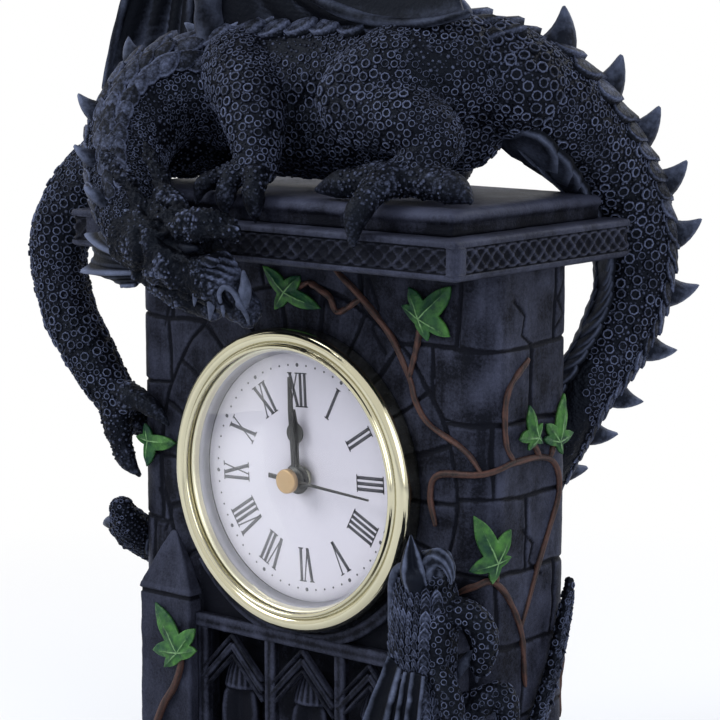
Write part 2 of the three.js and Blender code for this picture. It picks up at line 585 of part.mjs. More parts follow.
function dragonJaw() {
  return mainBody(cut(limb(JAW), skull(SEAT), neck(SEAT)));
}

// A webbed frill of three ribs behind the jaw.
function dragonFrill() {
  const [hinge, ...tips] = FRILL.map((point) => at(...point));
  const surface = (u, v) => {
    const place = v * (tips.length - 1);
    const k = Math.min(Math.floor(place), tips.length - 2);
    const web = 1 - 0.25 * Math.sin(Math.PI * (place - k));
    return hinge.clone().lerp(tips[k].clone().lerp(tips[k + 1], place - k), (0.12 + 0.88 * u) * web);
  };
  const ribs = tips.slice(0, 3).map((tip) => limb([[...hinge.toArray(), 1.6], [...tip.toArray(), 0.8]],
    { sides: 4 }));
  const web = sheet(surface, 3, 6, at(0.25, 1.3, 0.2));
  return mainBody(cut(join(web, ribs), skull(SEAT), neck(SEAT), limb(JAW, { grow: SEAT }),
    HORNS.map((horn) => limb(horn, { grow: SEAT })), masonry(SEAT)));
}

function dragonRightArm(grow = 0) {
  const fingers = RIGHT_FINGERS.map((finger) => limb(finger, { sides: 4, grow }));
  return mainBody(cut(join(rightArm(grow), fingers), torso(SEAT), neck(SEAT), masonry(SEAT)));
}

function dragonLeftArm() {
  return mainBody(cut(join(leftArm(), LEFT_FINGERS.map(claw)), torso(SEAT), neck(SEAT), masonry(SEAT)));
}

function dragonLeftLeg() {
  return mainBody(cut(join(leftLeg(), LEFT_TOES.map(claw)), torso(SEAT), masonry(SEAT)));
}

function dragonRightLeg() {
  return mainBody(cut(join(rightLeg(), RIGHT_TOES.map(claw)), torso(SEAT), masonry(SEAT), tail(TAIL_UPPER, SEAT)));
}

function tailPart(stations, count, outward, ...neighbours) {
  const spikes = crest(stations, count, { outward, height: 6.5, lean: -0.45 });
  return mainBody(cut(join(tail(stations), spikes), neighbours, masonry(SEAT)));
}

// A wing: an arm bone, three finger bones and the membrane between them, scalloped at its free edge.
function wing({ root, wrist, fingers }, bow) {
  const raised = ([x, y, z]) => at(x, y, PERCH + z);
  const top = raised(wrist);
  const arm = { mid: root.map((value, i) => (value + wrist[i]) / 2), tip: root };
  const rays = [...fingers, arm].map(({ mid, tip }) => new THREE.QuadraticBezierCurve3(top, raised(mid), raised(tip)));
  const surface = (u, v) => {
    const place = v * (rays.length - 1);
    const k = Math.min(Math.floor(place), rays.length - 2);
    const between = place - k;
    const belly = Math.sin(Math.PI * between);
    const reach = (0.06 + 0.93 * u) * (1 - 0.2 * belly);
    return rays[k].getPoint(reach).lerp(rays[k + 1].getPoint(reach), between).addScaledVector(bow, belly * u);
  };
  const bone = (ray, thick, thin) => limb([0, 0.25, 0.5, 0.75, 1].map((t) => [...ray.getPoint(t).toArray(),
    THREE.MathUtils.lerp(thick, thin, t)]), { sides: 6 });
  const bones = rays.map((ray, i) => (i === rays.length - 1 ? bone(ray, 3, 4.2) : bone(ray, 2.4, 1)));
  const thumb = claw([[top.x, top.y, top.z, 2.2], [top.x - 4, top.y - 3, top.z + 6, 1.2],
    [top.x - 3, top.y - 5, top.z + 10, 0.4]]);
  return mainBody(cut(join(sheet(surface, 4, 9, at(0, WING_THICKNESS, 0)), bones, thumb), dragonBody(SEAT)));
}

// Hatchling that climbs the tower's front right corner

// Its stations' x is measured from the tower's right face, and z from the height of the dial's centre.
const climbing = (stations) => stations.map(([x, y, z, ...radius]) => (
  [TOWER.halfWidth + x, y, DIAL_HEIGHT + z, ...radius]));
const HATCHLING = {
  shoulders: climbing([[-11.6, -32, -33]])[0],
  body: climbing([[-8.6, -26, -55, 6.4], [-9.6, -26.5, -45, 7.2], [-11, -26.5, -35, 7.6], [-12, -26, -26, 6.8],
    [-13, -26, -19, 5.8], [-14.4, -26, -14, 4.6]]),
  snout: climbing([[-13.6, -26.5, -18, 4.6], [-17, -28, -18.4, 3]]),
  ears: [
    climbing([[-14.1, -25, -13, 2], [-14.2, -24.2, -7.4, 0.6]]),
    climbing([[-9.6, -24.4, -14.5, 2], [-6.2, -23, -10.6, 0.6]]),
  ],
  arm: climbing([[-6.6, -24, -29, 4], [-0.6, -22.5, -26, 3.8], [2.4, -20, -30.5, 3.2], [-0.6, -21, -35, 2.4],
    [-2.2, -21.6, -38.5, 0.8]]),
  leg: climbing([[-6.6, -24, -47, 4.4], [0.4, -21.5, -43, 3.6], [4.4, -17, -45, 2.8], [4, -13, -48.5, 0.9]]),
  tail: climbing([[-7.6, -25.5, -57, 5], [-3.6, -24, -67, 3.8], [3.9, -17, -69, 3], [4.4, -4, -59, 2.6], [4, 6, -43, 2.2],
    [3.8, 11, -29, 1.8], [3.6, 12.4, -22, 0.8]]),
};

const hatchlingCore = (grow = 0) => limb(HATCHLING.body, { grow });
const pullOut = () => disc(BEZEL.radius + PULL_ROOM, 2 * BEZEL.radius, -1, 32);

function hatchlingBody() {
  const { snout, ears, arm, leg } = HATCHLING;
  const parts = [snout, ...ears, arm, leg].map((part) => limb(part));
  return mainBody(cut(join(hatchlingCore(), parts), buttress(1, SEAT), towerBlock(SEAT), pullOut()));
}

function hatchlingTail() {
  return mainBody(cut(limb(HATCHLING.tail, { steps: 2 }), hatchlingCore(SEAT), buttress(1, SEAT),
    limb(HATCHLING.leg, { grow: SEAT }), towerBlock(SEAT)));
}

// Folded wings hang down the hatchling's back as ribbed fans.
function hatchlingWings() {
  const fan = (side) => {
    const root = at(...HATCHLING.shoulders).add(at(side * 3, 0, 0));
    const surface = (u, v) => {
      const rib = 1.1 * Math.abs(Math.sin(4 * Math.PI * v));
      return at(root.x + side * 2 * v * (1 - u) + side * (1 + 8.5 * v) * u, root.y - rib - 1.2 * u, root.z - 22 * u);
    };
    return sheet(surface, 2, 8, at(0, 1.5, 0));
  };
  const [x, y, z] = HATCHLING.shoulders;
  const bar = limb([-3, 3].map((side) => [x + side, y - 0.6, z + 1, 1.8]));
  return mainBody(cut(join(fan(-1), fan(1), bar),
    hatchlingCore(SEAT), buttress(1, SEAT), towerBlock(SEAT)));
}

// Ivy, placed by the distance s round the tower from the middle of its front, and the height z

function onTower(s, z, lift) {
  const { halfWidth, front, corner } = TOWER;
  const flat = halfWidth - corner;
  const bend = (corner * Math.PI) / 2;
  const away = Math.abs(s);
  const side = Math.sign(s) || 1;
  if (away <= flat) return { point: at(s, front - lift, z), facing: 0 };
  if (away <= flat + bend) {
    const angle = (away - flat) / corner;
    const reach = corner + lift;
    return {
      point: at(side * (flat + reach * Math.sin(angle)), front + corner - reach * Math.cos(angle), z),
      facing: side * angle,
    };
  }
  return { point: at(side * (halfWidth + lift), front + corner + away - flat - bend, z), facing: (side * Math.PI) / 2 };
}

// Depths are below the tower's top.
const VINES = [
  [[2.8, 5.4], [9, 8.3], [11.8, 11.9], [19, 8.1]],
  [[11.2, 2], [19, 7.7], [28, 16.3], [33.6, 25.5], [35.6, 30.8], [39.6, 35.7], [49.5, 40.5], [53.5, 46]],
  [[41.5, 59.1], [40, 52.4], [42.4, 47.3], [53.5, 46], [62.2, 44.2], [76.2, 45.4], [79.6, 53.7], [72.8, 67.9],
    [65.2, 84.7]],
  [[67, 20.7], [59.2, 27.7], [58.8, 39], [62.2, 44.2]],
  [[47.8, 74.7], [52.2, 72.4], [56.8, 72.1], [65.2, 84.7], [67.2, 98.5]],
];
const LEAVES = [
  { s: -3.8, depth: 8.3, turn: 20, size: 0.92, stem: [2.8, 5.4] },
  { s: 37.6, depth: 11.1, turn: 160, size: 0.9, stem: [33.6, 25.5] },
  { s: 54.5, depth: 62, turn: 20, size: 1.05, stem: [56.8, 72.1] },
  { s: 67, depth: 37.9, turn: 75, size: 0.62, stem: [72, 44.8] },
  { s: 76, depth: 37.7, turn: -10, size: 0.8, stem: [76.2, 45.4] },
];
const BUTTRESS_LEAF = { out: 7.1, drop: 16, turn: 20, size: 1.1, stem: { out: 11.6, drop: 39 } };
const HAND_LEAF = { inset: 8.1, drop: 65.5, turn: 80, size: 0.7 };

// A vine lies on the wall, and its stations keep the rounded corner's curve.
function vine(path) {
  const route = new THREE.CatmullRomCurve3(path.map(([s, depth]) => at(s, TOWER_TOP - depth, 0)), false,
    'centripetal');
  const count = Math.ceil(route.getLength() / 7);
  return limb(route.getSpacedPoints(count).map(({ x, y }, i) => {
    const radius = VINE * (1 - (0.35 * i) / count);
    return [...onTower(x, y, SEAT + radius).point.toArray(), radius];
  }), { sides: 4 });
}

// A five-lobed leaf: long lobes at every fourth point, notches between them, and shorter lobes at the stalk.
function leafBlade({ turn, size }, point, facing) {
  const count = 20;
  const lobes = [1, 0.66, 0.5, 0.66];
  const outline = new THREE.Shape(Array.from({ length: count }, (_, i) => {
    const angle = (2 * Math.PI * i) / count;
    const reach = LEAF.size * size * lobes[i % lobes.length] * (0.78 + 0.22 * Math.cos(angle));
    return new THREE.Vector2(reach * Math.sin(angle), reach * Math.cos(angle));
  }));
  return new THREE.ExtrudeGeometry(outline, { depth: LEAF.thickness, bevelEnabled: false })
    .rotateX(Math.PI / 2).rotateY(radians(turn)).rotateZ(facing).translate(...point.toArray());
}

// The spray on the tower's right: every vine and leaf hangs together by its stalk.
function ivySpray() {
  const leaves = LEAVES.flatMap((leaf) => {
    const { point, facing } = onTower(leaf.s, TOWER_TOP - leaf.depth, SEAT + VINE);
    return [leafBlade(leaf, point, facing), vine([[leaf.s, leaf.depth], leaf.stem])];
  });
  return mainBody(cut(join(VINES.map(vine), leaves), towerBlock(SEAT), pullOut(), hatchlingCore(SEAT),
    buttress(1, SEAT)));
}

function buttressSprig() {
  const y = TOWER.front - SEAT - BUTTRESS.depth - SEAT - VINE;
  const place = ({ out, drop }) => [-BAY.halfWidth - out, y, BUTTRESS.shoulder - drop];
  const [x, , z] = place(BUTTRESS_LEAF);
  const foot = place(BUTTRESS_LEAF.stem);
  return join(leafBlade(BUTTRESS_LEAF, at(x, y, z), 0), limb([[x, y, z, VINE], [x - 1.5, y, (z + foot[2]) / 2, VINE],
    [...foot, VINE]]));
}

function handLeaf() {
  const place = at(HAND_LEAF.inset - TOWER.halfWidth, TOWER.front - SEAT, PERCH - HAND_LEAF.drop);
  return mainBody(cut(leafBlade(HAND_LEAF, place, 0), dragonRightArm(SEAT), pullOut()));
}

// Clock insert

// The bezel's lip holds the lens rim, and its foot rests on the tower's face.
const bezel = () => turned([[BEZEL.lip, LENS.edge + LENS.thickness + SEAT], [BEZEL.lip + 0.3, BEZEL.height - 0.5],
  [BEZEL.lip + 1.6, BEZEL.height], [BEZEL.radius - 2, BEZEL.height], [BEZEL.radius - 0.6, BEZEL.height - 1],
  [BEZEL.radius, BEZEL.height - 2.6], [BEZEL.radius - 0.4, BEZEL.back], [LENS.radius + SEAT, BEZEL.back],
  [LENS.radius + SEAT, LENS.edge + LENS.thickness + SEAT]], ROUND);

function lens() {
  const rise = (r) => LENS.dome * (1 - (r / LENS.clear) ** 2);
  const arc = [0, 0.35, 0.7, 1].map((share) => share * LENS.clear);
  return turned([...arc.map((r) => [r, LENS.edge + LENS.thickness + rise(r)]),
    [LENS.radius, LENS.edge + LENS.thickness], [LENS.radius, LENS.edge],
    ...arc.slice(0, -1).reverse().map((r) => [r, LENS.edge + rise(r)])], ROUND);
}

const reflectorRing = () => turned([[REFLECTOR.top, LENS.edge - SEAT], [REFLECTOR.outer, LENS.edge - SEAT],
  [REFLECTOR.outer, SEAT], [REFLECTOR.bottom, SEAT]], ROUND);

const dial = () => ring(DIAL.hole, DIAL.radius, 0, -DIAL.thickness, ROUND);

// The cup closes the movement from behind, with holes for the setting shaft and the battery.
function insertCup() {
  const rim = BEZEL.back - SEAT;
  const shell = turned([[0, -CUP.depth], [CUP.radius, -CUP.depth], [CUP.radius, rim], [CUP.radius - CUP.wall, rim],
    [CUP.radius - CUP.wall, CUP.wall - CUP.depth], [0, CUP.wall - CUP.depth]], ROUND);
  const shaftHole = shifted(disc(KNOB.shaft + RUN, CUP.wall - CUP.depth + 1, -CUP.depth - 1, 12), SETTING);
  const cellHole = shifted(disc(CELL_COVER.radius + SEAT, CUP.wall - CUP.depth + 1, -CUP.depth - 1, 24),
    [CELL.x, CELL.z]);
  return cut(shell, shaftHole, cellHole);
}

// A rubber ring with rounded ribs grips the bore.
function gripRing() {
  const inner = CUP.radius + SEAT;
  const step = GRIP_RING.width / GRIP_RING.ribs;
  const ribs = Array.from({ length: GRIP_RING.ribs }, (_, i) => [[inner + 0.4, -GRIP_RING.start - i * step],
    [inner + GRIP_RING.thickness, -GRIP_RING.start - (i + 0.5) * step]]).flat();
  const end = -GRIP_RING.start - GRIP_RING.width;
  return turned([...ribs, [inner + 0.4, end], [inner, end], [inner, -GRIP_RING.start]], ROUND);
}

// Pointed teeth round a hub, the first of them at the phase angle.
function gear({ teeth, module }, front, thickness, bore, phase = 0) {
  const pitchRadius = (module * teeth) / 2;
  const pitch = (2 * Math.PI) / teeth;
  const corners = [[-TOOTH.root, -TOOTH.dedendum], [0, TOOTH.addendum], [TOOTH.root, -TOOTH.dedendum]];
  const outline = new THREE.Shape(Array.from({ length: teeth }, (_, i) => corners.map(([turn, height]) => {
    const angle = (i + turn) * pitch + phase;
    const reach = pitchRadius + height * module;
    return new THREE.Vector2(reach * Math.cos(angle), reach * Math.sin(angle));
  })).flat());
  if (bore) outline.holes.push(new THREE.Path().absarc(0, 0, bore, 0, 2 * Math.PI, true));
  return flatPart(outline, -front, -front - thickness);
}

const polar = (radius, degrees) => [radius * Math.cos(radians(degrees)), radius * Math.sin(radians(degrees))];
const away = ([x, z], radius, degrees) => polar(radius, degrees).map((d, i) => d + [x, z][i]);
const reach = ({ pinion, wheel, module }) => (module * (pinion + wheel)) / 2;
const THIRD = polar(reach(TRAIN.second), ARBOR_ANGLE.third);
const FIFTH = polar(reach(TRAIN.fifth), ARBOR_ANGLE.fifth);
const ROTOR = away(FIFTH, reach(TRAIN.rotor), ARBOR_ANGLE.rotor);
const MINUTE = polar(reach(TRAIN.cannon), ARBOR_ANGLE.minute);
const SETTING = away(MINUTE, reach(TRAIN.cannon), ARBOR_ANGLE.minute);

// A wheel meshes with a pinion that shows a tooth towards it, so the wheel shows a gap there.
const facingTooth = (degrees) => radians(degrees);
const facingGap = (degrees, teeth) => radians(degrees + 180) + Math.PI / teeth;

const arborTo = (front, back) => disc(ARBOR, -front, -back, 8);
const PIVOT_END = GEAR_PLATE.front + GEAR_PLATE.thickness;

function secondWheel() {
  const t = TRAIN.fifth;
  return join(gear({ teeth: t.wheel, module: t.module }, LAYER.second, WHEEL, 0,
    facingGap(ARBOR_ANGLE.fifth + 180, t.wheel)),
  gear({ teeth: TRAIN.second.pinion, module: TRAIN.second.module }, LAYER.third - 0.1,
    LAYER.second - LAYER.third + 0.3, 0, facingTooth(ARBOR_ANGLE.third)),
  arborTo(-HANDS.second.gap - HAND, PIVOT_END));
}

function thirdWheel() {
  const t = TRAIN.second;
  const wheel = gear({ teeth: t.wheel, module: t.module }, LAYER.third, WHEEL, 0, facingGap(ARBOR_ANGLE.third, t.wheel));
  const pinion = gear({ teeth: TRAIN.third.pinion, module: TRAIN.third.module }, LAYER.centre - 0.2,
    LAYER.third - LAYER.centre + 0.4, 0, facingTooth(ARBOR_ANGLE.third + 180));
  return shifted(toGeometry(join(wheel, pinion, arborTo(PLATE.front + 0.4, PIVOT_END))), THIRD);
}

function fifthWheel() {
  const t = TRAIN.rotor;
  const wheel = gear({ teeth: t.wheel, module: t.module }, LAYER.fifth, WHEEL, 0,
    facingGap(ARBOR_ANGLE.rotor + 180, t.wheel));
  const pinion = gear({ teeth: TRAIN.fifth.pinion, module: TRAIN.fifth.module }, LAYER.second - 0.2,
    LAYER.fifth - LAYER.second + 0.4, 0, facingTooth(ARBOR_ANGLE.fifth + 180));
  return shifted(toGeometry(join(wheel, pinion, arborTo(LAYER.second - 0.3, PIVOT_END))), FIFTH);
}

function rotor() {
  const t = TRAIN.rotor;
  const pinion = gear({ teeth: t.pinion, module: t.module }, LAYER.fifth - 0.2, LAYER.magnet - LAYER.fifth + 0.4, 0,
    facingTooth(ARBOR_ANGLE.rotor + 180));
  const magnet = disc(MAGNET.radius, -LAYER.magnet, -LAYER.magnet - MAGNET.thickness, 14);
  return shifted(toGeometry(join(pinion, magnet, arborTo(LAYER.fifth - 0.3, PIVOT_END))), ROTOR);
}

function centreWheel() {
  const t = TRAIN.third;
  return gear({ teeth: t.wheel, module: t.module }, LAYER.centre, WHEEL, MINUTE_PIPE.outer + RUN,
    facingGap(ARBOR_ANGLE.third + 180, t.wheel));
}

function cannonPinion() {
  const t = TRAIN.cannon;
  const leaves = gear({ teeth: t.pinion, module: t.module }, LAYER.motion - 0.2, PINION, MINUTE_PIPE.inner,
    facingTooth(ARBOR_ANGLE.minute));
  return join(leaves, ring(MINUTE_PIPE.inner, MINUTE_PIPE.outer, HANDS.minute.gap + HAND + 0.1,
    -LAYER.centre - WHEEL - 0.1, 14));
}

function minuteWheel() {
  const t = TRAIN.cannon;
  const wheel = gear({ teeth: t.wheel, module: t.module }, LAYER.motion, WHEEL, 0, facingGap(ARBOR_ANGLE.minute, t.wheel));
  const pinion = gear({ teeth: TRAIN.minute.pinion, module: TRAIN.minute.module }, LAYER.hour - 0.2,
    LAYER.motion - LAYER.hour + 0.4, 0, facingTooth(ARBOR_ANGLE.minute + 180));
  return shifted(toGeometry(join(wheel, pinion, arborTo(PLATE.front + 0.4, LAYER.motion + 1.6))), MINUTE);
}

function hourWheel() {
  const t = TRAIN.minute;
  const wheel = gear({ teeth: t.wheel, module: t.module }, LAYER.hour, WHEEL, HOUR_PIPE.inner,
    facingGap(ARBOR_ANGLE.minute + 180, t.wheel));
  return join(wheel, ring(HOUR_PIPE.inner, HOUR_PIPE.outer, HANDS.hour.gap + HAND + 0.1, -LAYER.hour - 0.1, 16));
}

// A long tapered hand with a round boss on its pipe, and a round bulge on the hour hand.
function hand({ gap, length, width, boss, bulge = 0, bulgeAt = 0, tail = 0 }, bore, degrees) {
  const half = width / 2;
  const blade = new THREE.Shape([[-half, -tail], [half, -tail], [half, 0.5 * length], [0.3 * half, length],
    [-0.3 * half, length], [-half, 0.5 * length]].map(([x, y]) => new THREE.Vector2(x, y)));
  const round = (radius, y) => flatPart(new THREE.Shape().absarc(0, y, radius, 0, 2 * Math.PI), gap + HAND, gap);
  const parts = [flatPart(blade, gap + HAND, gap), round(boss, 0)];
  if (bulge) parts.push(round(bulge, bulgeAt));
  return cut(join(parts), disc(bore, gap + HAND + 1, gap - 1, 14)).translate(0, 0, -DIAL_HEIGHT)
    .rotate([0, degrees, 0]).translate(0, 0, DIAL_HEIGHT);
}

const hubCap = () => disc(HUB.radius, HANDS.second.gap + HAND + SEAT + HUB.height, HANDS.second.gap + HAND + SEAT, 24);

// Movement frame

const PILLARS = [40, 155, 320].map((degrees) => polar(GEAR_PLATE.radius - 2.6, degrees));
const BOARD_BACK = CUP.depth - CUP.wall - SEAT - CELL.thickness - SEAT;
const STATOR_FRONT = GEAR_PLATE.front - SEAT - STATOR.thickness;
const STUDS = [[BOARD.left + 3, -BOARD.halfHeight + 3], [BOARD.right - 3, 0]];

function frontPlate() {
  const plate = ring(HOUR_PIPE.outer + RUN, PLATE.radius, -PLATE.front, -PLATE.front - PLATE.thickness, ROUND);
  const posts = PILLARS.map((place) => shifted(disc(1.8, -PLATE.front - 0.4, -GEAR_PLATE.front + SEAT, 8), place));
  const studs = STUDS.map((place) => shifted(disc(1.3, -PLATE.front - 0.4, BOARD.thickness + SEAT - BOARD_BACK, 8), place));
  const pivots = [THIRD, MINUTE].map((place) => shifted(disc(ARBOR + RUN, 0, -PLATE.front - PLATE.thickness - 1, 8),
    place));
  const screwBores = PILLARS.map((place) => shifted(disc(0.95, -GEAR_PLATE.front + 4, -PIVOT_END, 8), place));
  return cut(join(plate, posts, studs), pivots, screwBores);
}

function gearPlate() {
  const through = (radius, place, segments = 8) => shifted(disc(radius, -GEAR_PLATE.front + 1, -PIVOT_END - 1, segments),
    place);
  return mainBody(cut(disc(GEAR_PLATE.radius, -GEAR_PLATE.front, -PIVOT_END, 28),
    [[0, 0], THIRD, FIFTH, ROTOR].map((place) => through(ARBOR + RUN, place)),
    through(KNOB.shaft + RUN, SETTING), through(CELL.radius + 1.2, [CELL.x, CELL.z], 24),
    PILLARS.map((place) => through(0.95, place, 8))));
}

function plateScrew([x, z]) {
  return join(disc(0.62, -GEAR_PLATE.front + 3, -PIVOT_END - 0.6, 6),
    disc(1.7, -PIVOT_END - SEAT, -PIVOT_END - 1, 6)).translate(x, 0, z);
}

const circuitBoard = () => box(BOARD.left, BOARD.right, DIAL_FACE + BOARD_BACK - BOARD.thickness,
  DIAL_FACE + BOARD_BACK, DIAL_HEIGHT - BOARD.halfHeight, DIAL_HEIGHT + BOARD.halfHeight);

function quartzCrystal() {
  const y = DIAL_FACE + BOARD_BACK + SEAT + 1;
  const z = DIAL_HEIGHT - BOARD.halfHeight + 2;
  return new THREE.CylinderGeometry(1, 1, 6, 10).rotateZ(Math.PI / 2).translate(BOARD.left + 7, y, z);
}

// The stator is a thin plate with a round gap for the rotor's magnet and a leg to each end of the coil.
function stator() {
  const { left, right, top, leg } = STATOR;
  const low = COIL.z - 1.3;
  const crotch = ROTOR[1] - MAGNET.radius - 1.8;
  const outline = new THREE.Shape([[left, low], [left + leg, low], [left + leg, crotch], [right - leg, crotch],
    [right - leg, low], [right, low], [right, top], [left, top]].map(([x, y]) => new THREE.Vector2(x, y)));
  outline.holes.push(new THREE.Path().absarc(...ROTOR, MAGNET.radius + RUN + 0.2, 0, 2 * Math.PI, true));
  const plate = flatPart(outline, -STATOR_FRONT, -STATOR_FRONT - STATOR.thickness);
  return cut(plate, shifted(disc(ARBOR + RUN, 0, -PIVOT_END, 12), FIFTH));
}

// Wire wound on a flanged bobbin, whose flat core lies on the stator's legs.
function driveCoil() {
  const { left, right, leg, thickness } = STATOR;
  const front = STATOR_FRONT - SEAT - thickness;
  const y = DIAL_FACE + front + thickness / 2;
  const z = DIAL_HEIGHT + COIL.z;
  const drum = (radius, x0, x1) => new THREE.CylinderGeometry(radius, radius, x1 - x0, 14).rotateZ(Math.PI / 2)
    .translate((x0 + x1) / 2, y, z);
  const [x0, x1] = [left + leg + SEAT, right - leg - SEAT];
  return join(drum(COIL.radius, x0 + 0.4, x1 - 0.4), drum(COIL.flange, x0, x0 + 0.8), drum(COIL.flange, x1 - 0.8, x1),
    box(left, right, y - thickness / 2, y + thickness / 2, z - 1, z + 1));
}

const battery = () => shifted(disc(CELL.radius, -BOARD_BACK - SEAT, -BOARD_BACK - SEAT - CELL.thickness, 24),
  [CELL.x, CELL.z]);

// A spring strip on the board touches the battery's side.
function batteryContact() {
  const x = CELL.x + CELL.radius + SEAT;
  const y = DIAL_FACE + BOARD_BACK + SEAT;
  const z = DIAL_HEIGHT + CELL.z;
  return join(box(x, x + 0.3, y, y + CELL.thickness - 1, z - 1.1, z + 1.1), box(x, x + 2.2, y, y + 0.3, z - 1.1, z + 1.1));
}

// The cover lies in the cup's back wall and has a coin slot.
function batteryCover() {
  const cover = shifted(disc(CELL_COVER.radius, CUP.wall - CUP.depth, -CUP.depth, 24), [CELL.x, CELL.z]);
  const y = DIAL_FACE + CUP.depth;
  const z = DIAL_HEIGHT + CELL.z;
  return cut(cover, box(CELL.x - 4, CELL.x + 4, y - 0.7, y + 1, z - CELL_COVER.slot / 2, z + CELL_COVER.slot / 2));
}

function settingKnob() {
  const pinion = gear({ teeth: TRAIN.cannon.pinion, module: TRAIN.cannon.module }, LAYER.motion - 0.2, PINION, 0,
    facingTooth(ARBOR_ANGLE.minute + 180));
  const shaft = disc(KNOB.shaft, -LAYER.motion, -CUP.depth - SEAT - 0.3, 12);
  const flutes = 12;
  const grip = gear({ teeth: flutes, module: (2 * KNOB.radius) / flutes }, CUP.depth + SEAT, KNOB.height, 0);
  return shifted(toGeometry(join(pinion, shaft, grip)), SETTING);
}

// Materials

const paint = (color, roughness, metalness = 0) => new THREE.MeshStandardMaterial({ color, roughness, metalness });
const STONE = paint(0x24262d, 0.75);
const STONE_DARK = paint(0x1c1e25, 0.8);
const HIDE = paint(0x262a38, 0.6);
const HORN = paint(0x3d4356, 0.5);
const GOLD = paint(0xd8c27a, 0.2, 1);
const GLASS = paint(0xe8eef2, 0.05);
const SILVER = paint(0x9a9aa6, 0.35, 0.6);
const WHITE = paint(0xdcd8e4, 0.5);
const BLACK = paint(0x15151a, 0.5);
const COPPER = paint(0xb8834f, 0.35, 0.9);
const BRASS = paint(0xc9a54c, 0.35, 0.9);
const STEEL = paint(0x8c9096, 0.35, 0.9);
const PLASTIC = paint(0x2e2f33, 0.55);
const CREAM = paint(0xd9d4c4, 0.5);
const BOARD_GREEN = paint(0x2c5a35, 0.5);
const LEAF_GREEN = paint(0x2f8a3c, 0.5);
const BARK = paint(0x4b3029, 0.7);
const FELT_GREY = paint(0x1d1d20, 0.95);

const TAIL_OUT = at(1, 0.2, 0.5);
const PIECES = [
  ['felt_base_sheet', feltSheet, FELT_GREY],
  ['base_plinth', plinth, STONE],
  ['tower_casting', towerCasting, STONE],
  ['buttress_left', () => buttress(-1), STONE],
  ['buttress_right', () => buttress(1), STONE],
  ['window_tracery', windowTracery, STONE_DARK],
  ['hooded_figures', hoodedFigures, STONE_DARK],
  ['cornice', cornice, STONE],
  ['top_slab', slab, STONE],
  ['ivy_spray', ivySpray, BARK],
  ['ivy_buttress_sprig', buttressSprig, LEAF_GREEN],
  ['ivy_hand_leaf', handLeaf, LEAF_GREEN],
  ['dragon_torso', () => mainBody(cut(torso(), masonry(SEAT))), HIDE],
  ['dragon_neck', dragonNeck, HIDE],
  ['dragon_head', dragonHead, HIDE],
  ['dragon_jaw', dragonJaw, HIDE],
  ['dragon_frill', dragonFrill, HIDE],
  ['dragon_right_arm', () => dragonRightArm(), HIDE],
  ['dragon_left_arm', dragonLeftArm, HIDE],
  ['dragon_left_leg', dragonLeftLeg, HIDE],
  ['dragon_right_leg', dragonRightLeg, HIDE],
  ['dragon_tail_upper', () => tailPart(TAIL_UPPER, 4, TAIL_OUT, torso(SEAT), leftLeg(SEAT)), HIDE],
  ['dragon_tail_middle', () => tailPart(TAIL_MIDDLE, 6, TAIL_OUT, tail(TAIL_UPPER, SEAT)), HIDE],
  ['dragon_tail_lower', () => tailPart(TAIL_LOWER, 11, at(-0.9, 0.8, -0.2), tail(TAIL_MIDDLE, SEAT)), HIDE],
  ['dragon_left_wing', () => wing(LEFT_WING, at(0, 5, 0)), HORN],
  ['dragon_right_wing', () => wing(RIGHT_WING, at(0, 5, 0)), HORN],
  ['hatchling_body', hatchlingBody, HIDE],
  ['hatchling_tail', hatchlingTail, HIDE],
  ['hatchling_wings', hatchlingWings, HORN],
  ['bezel', bezel, GOLD],
  ['lens', lens, GLASS],
  ['reflector_ring', reflectorRing, SILVER],
  ['dial', dial, WHITE],
  ['insert_cup', insertCup, PLASTIC],
  ['grip_ring', gripRing, BLACK],
  ['front_plate', frontPlate, CREAM],
  ['gear_plate', gearPlate, CREAM],
  ...PILLARS.map((place, i) => [`plate_screw_${i + 1}`, () => plateScrew(place), STEEL]),
  ['circuit_board', circuitBoard, BOARD_GREEN],
  ['quartz_crystal', quartzCrystal, STEEL],
  ['stator', stator, STEEL],
  ['drive_coil', driveCoil, COPPER],
  ['battery', battery, STEEL],
  ['battery_contact', batteryContact, BRASS],
  ['battery_cover', batteryCover, PLASTIC],
  ['rotor', rotor, STEEL],
  ['fifth_wheel', fifthWheel, CREAM],
  ['second_wheel', secondWheel, CREAM],
  ['third_wheel', thirdWheel, CREAM],
  ['centre_wheel', centreWheel, BRASS],
  ['cannon_pinion', cannonPinion, BRASS],
  ['minute_wheel', minuteWheel, CREAM],
  ['hour_wheel', hourWheel, CREAM],
  ['setting_knob', settingKnob, PLASTIC],
  ['hour_hand', () => hand(HANDS.hour, HOUR_PIPE.outer + RUN, -DIAL_TURN), BLACK],
  ['minute_hand', () => hand(HANDS.minute, MINUTE_PIPE.outer + RUN, -DIAL_TURN), BLACK],
  ['second_hand', () => hand(HANDS.second, ARBOR + RUN, SECOND_ANGLE - DIAL_TURN), BLACK],
  ['hub_cap', hubCap, COPPER],
];

const clock = new THREE.Group();
for (const [name, make, material] of PIECES) {
  const mesh = new THREE.Mesh(toGeometry(make()), material);
  mesh.name = name;
  clock.add(mesh);
}

export default clock;
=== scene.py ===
import json
import math

import bpy
import numpy as np
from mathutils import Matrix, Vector
from mathutils.kdtree import KDTree


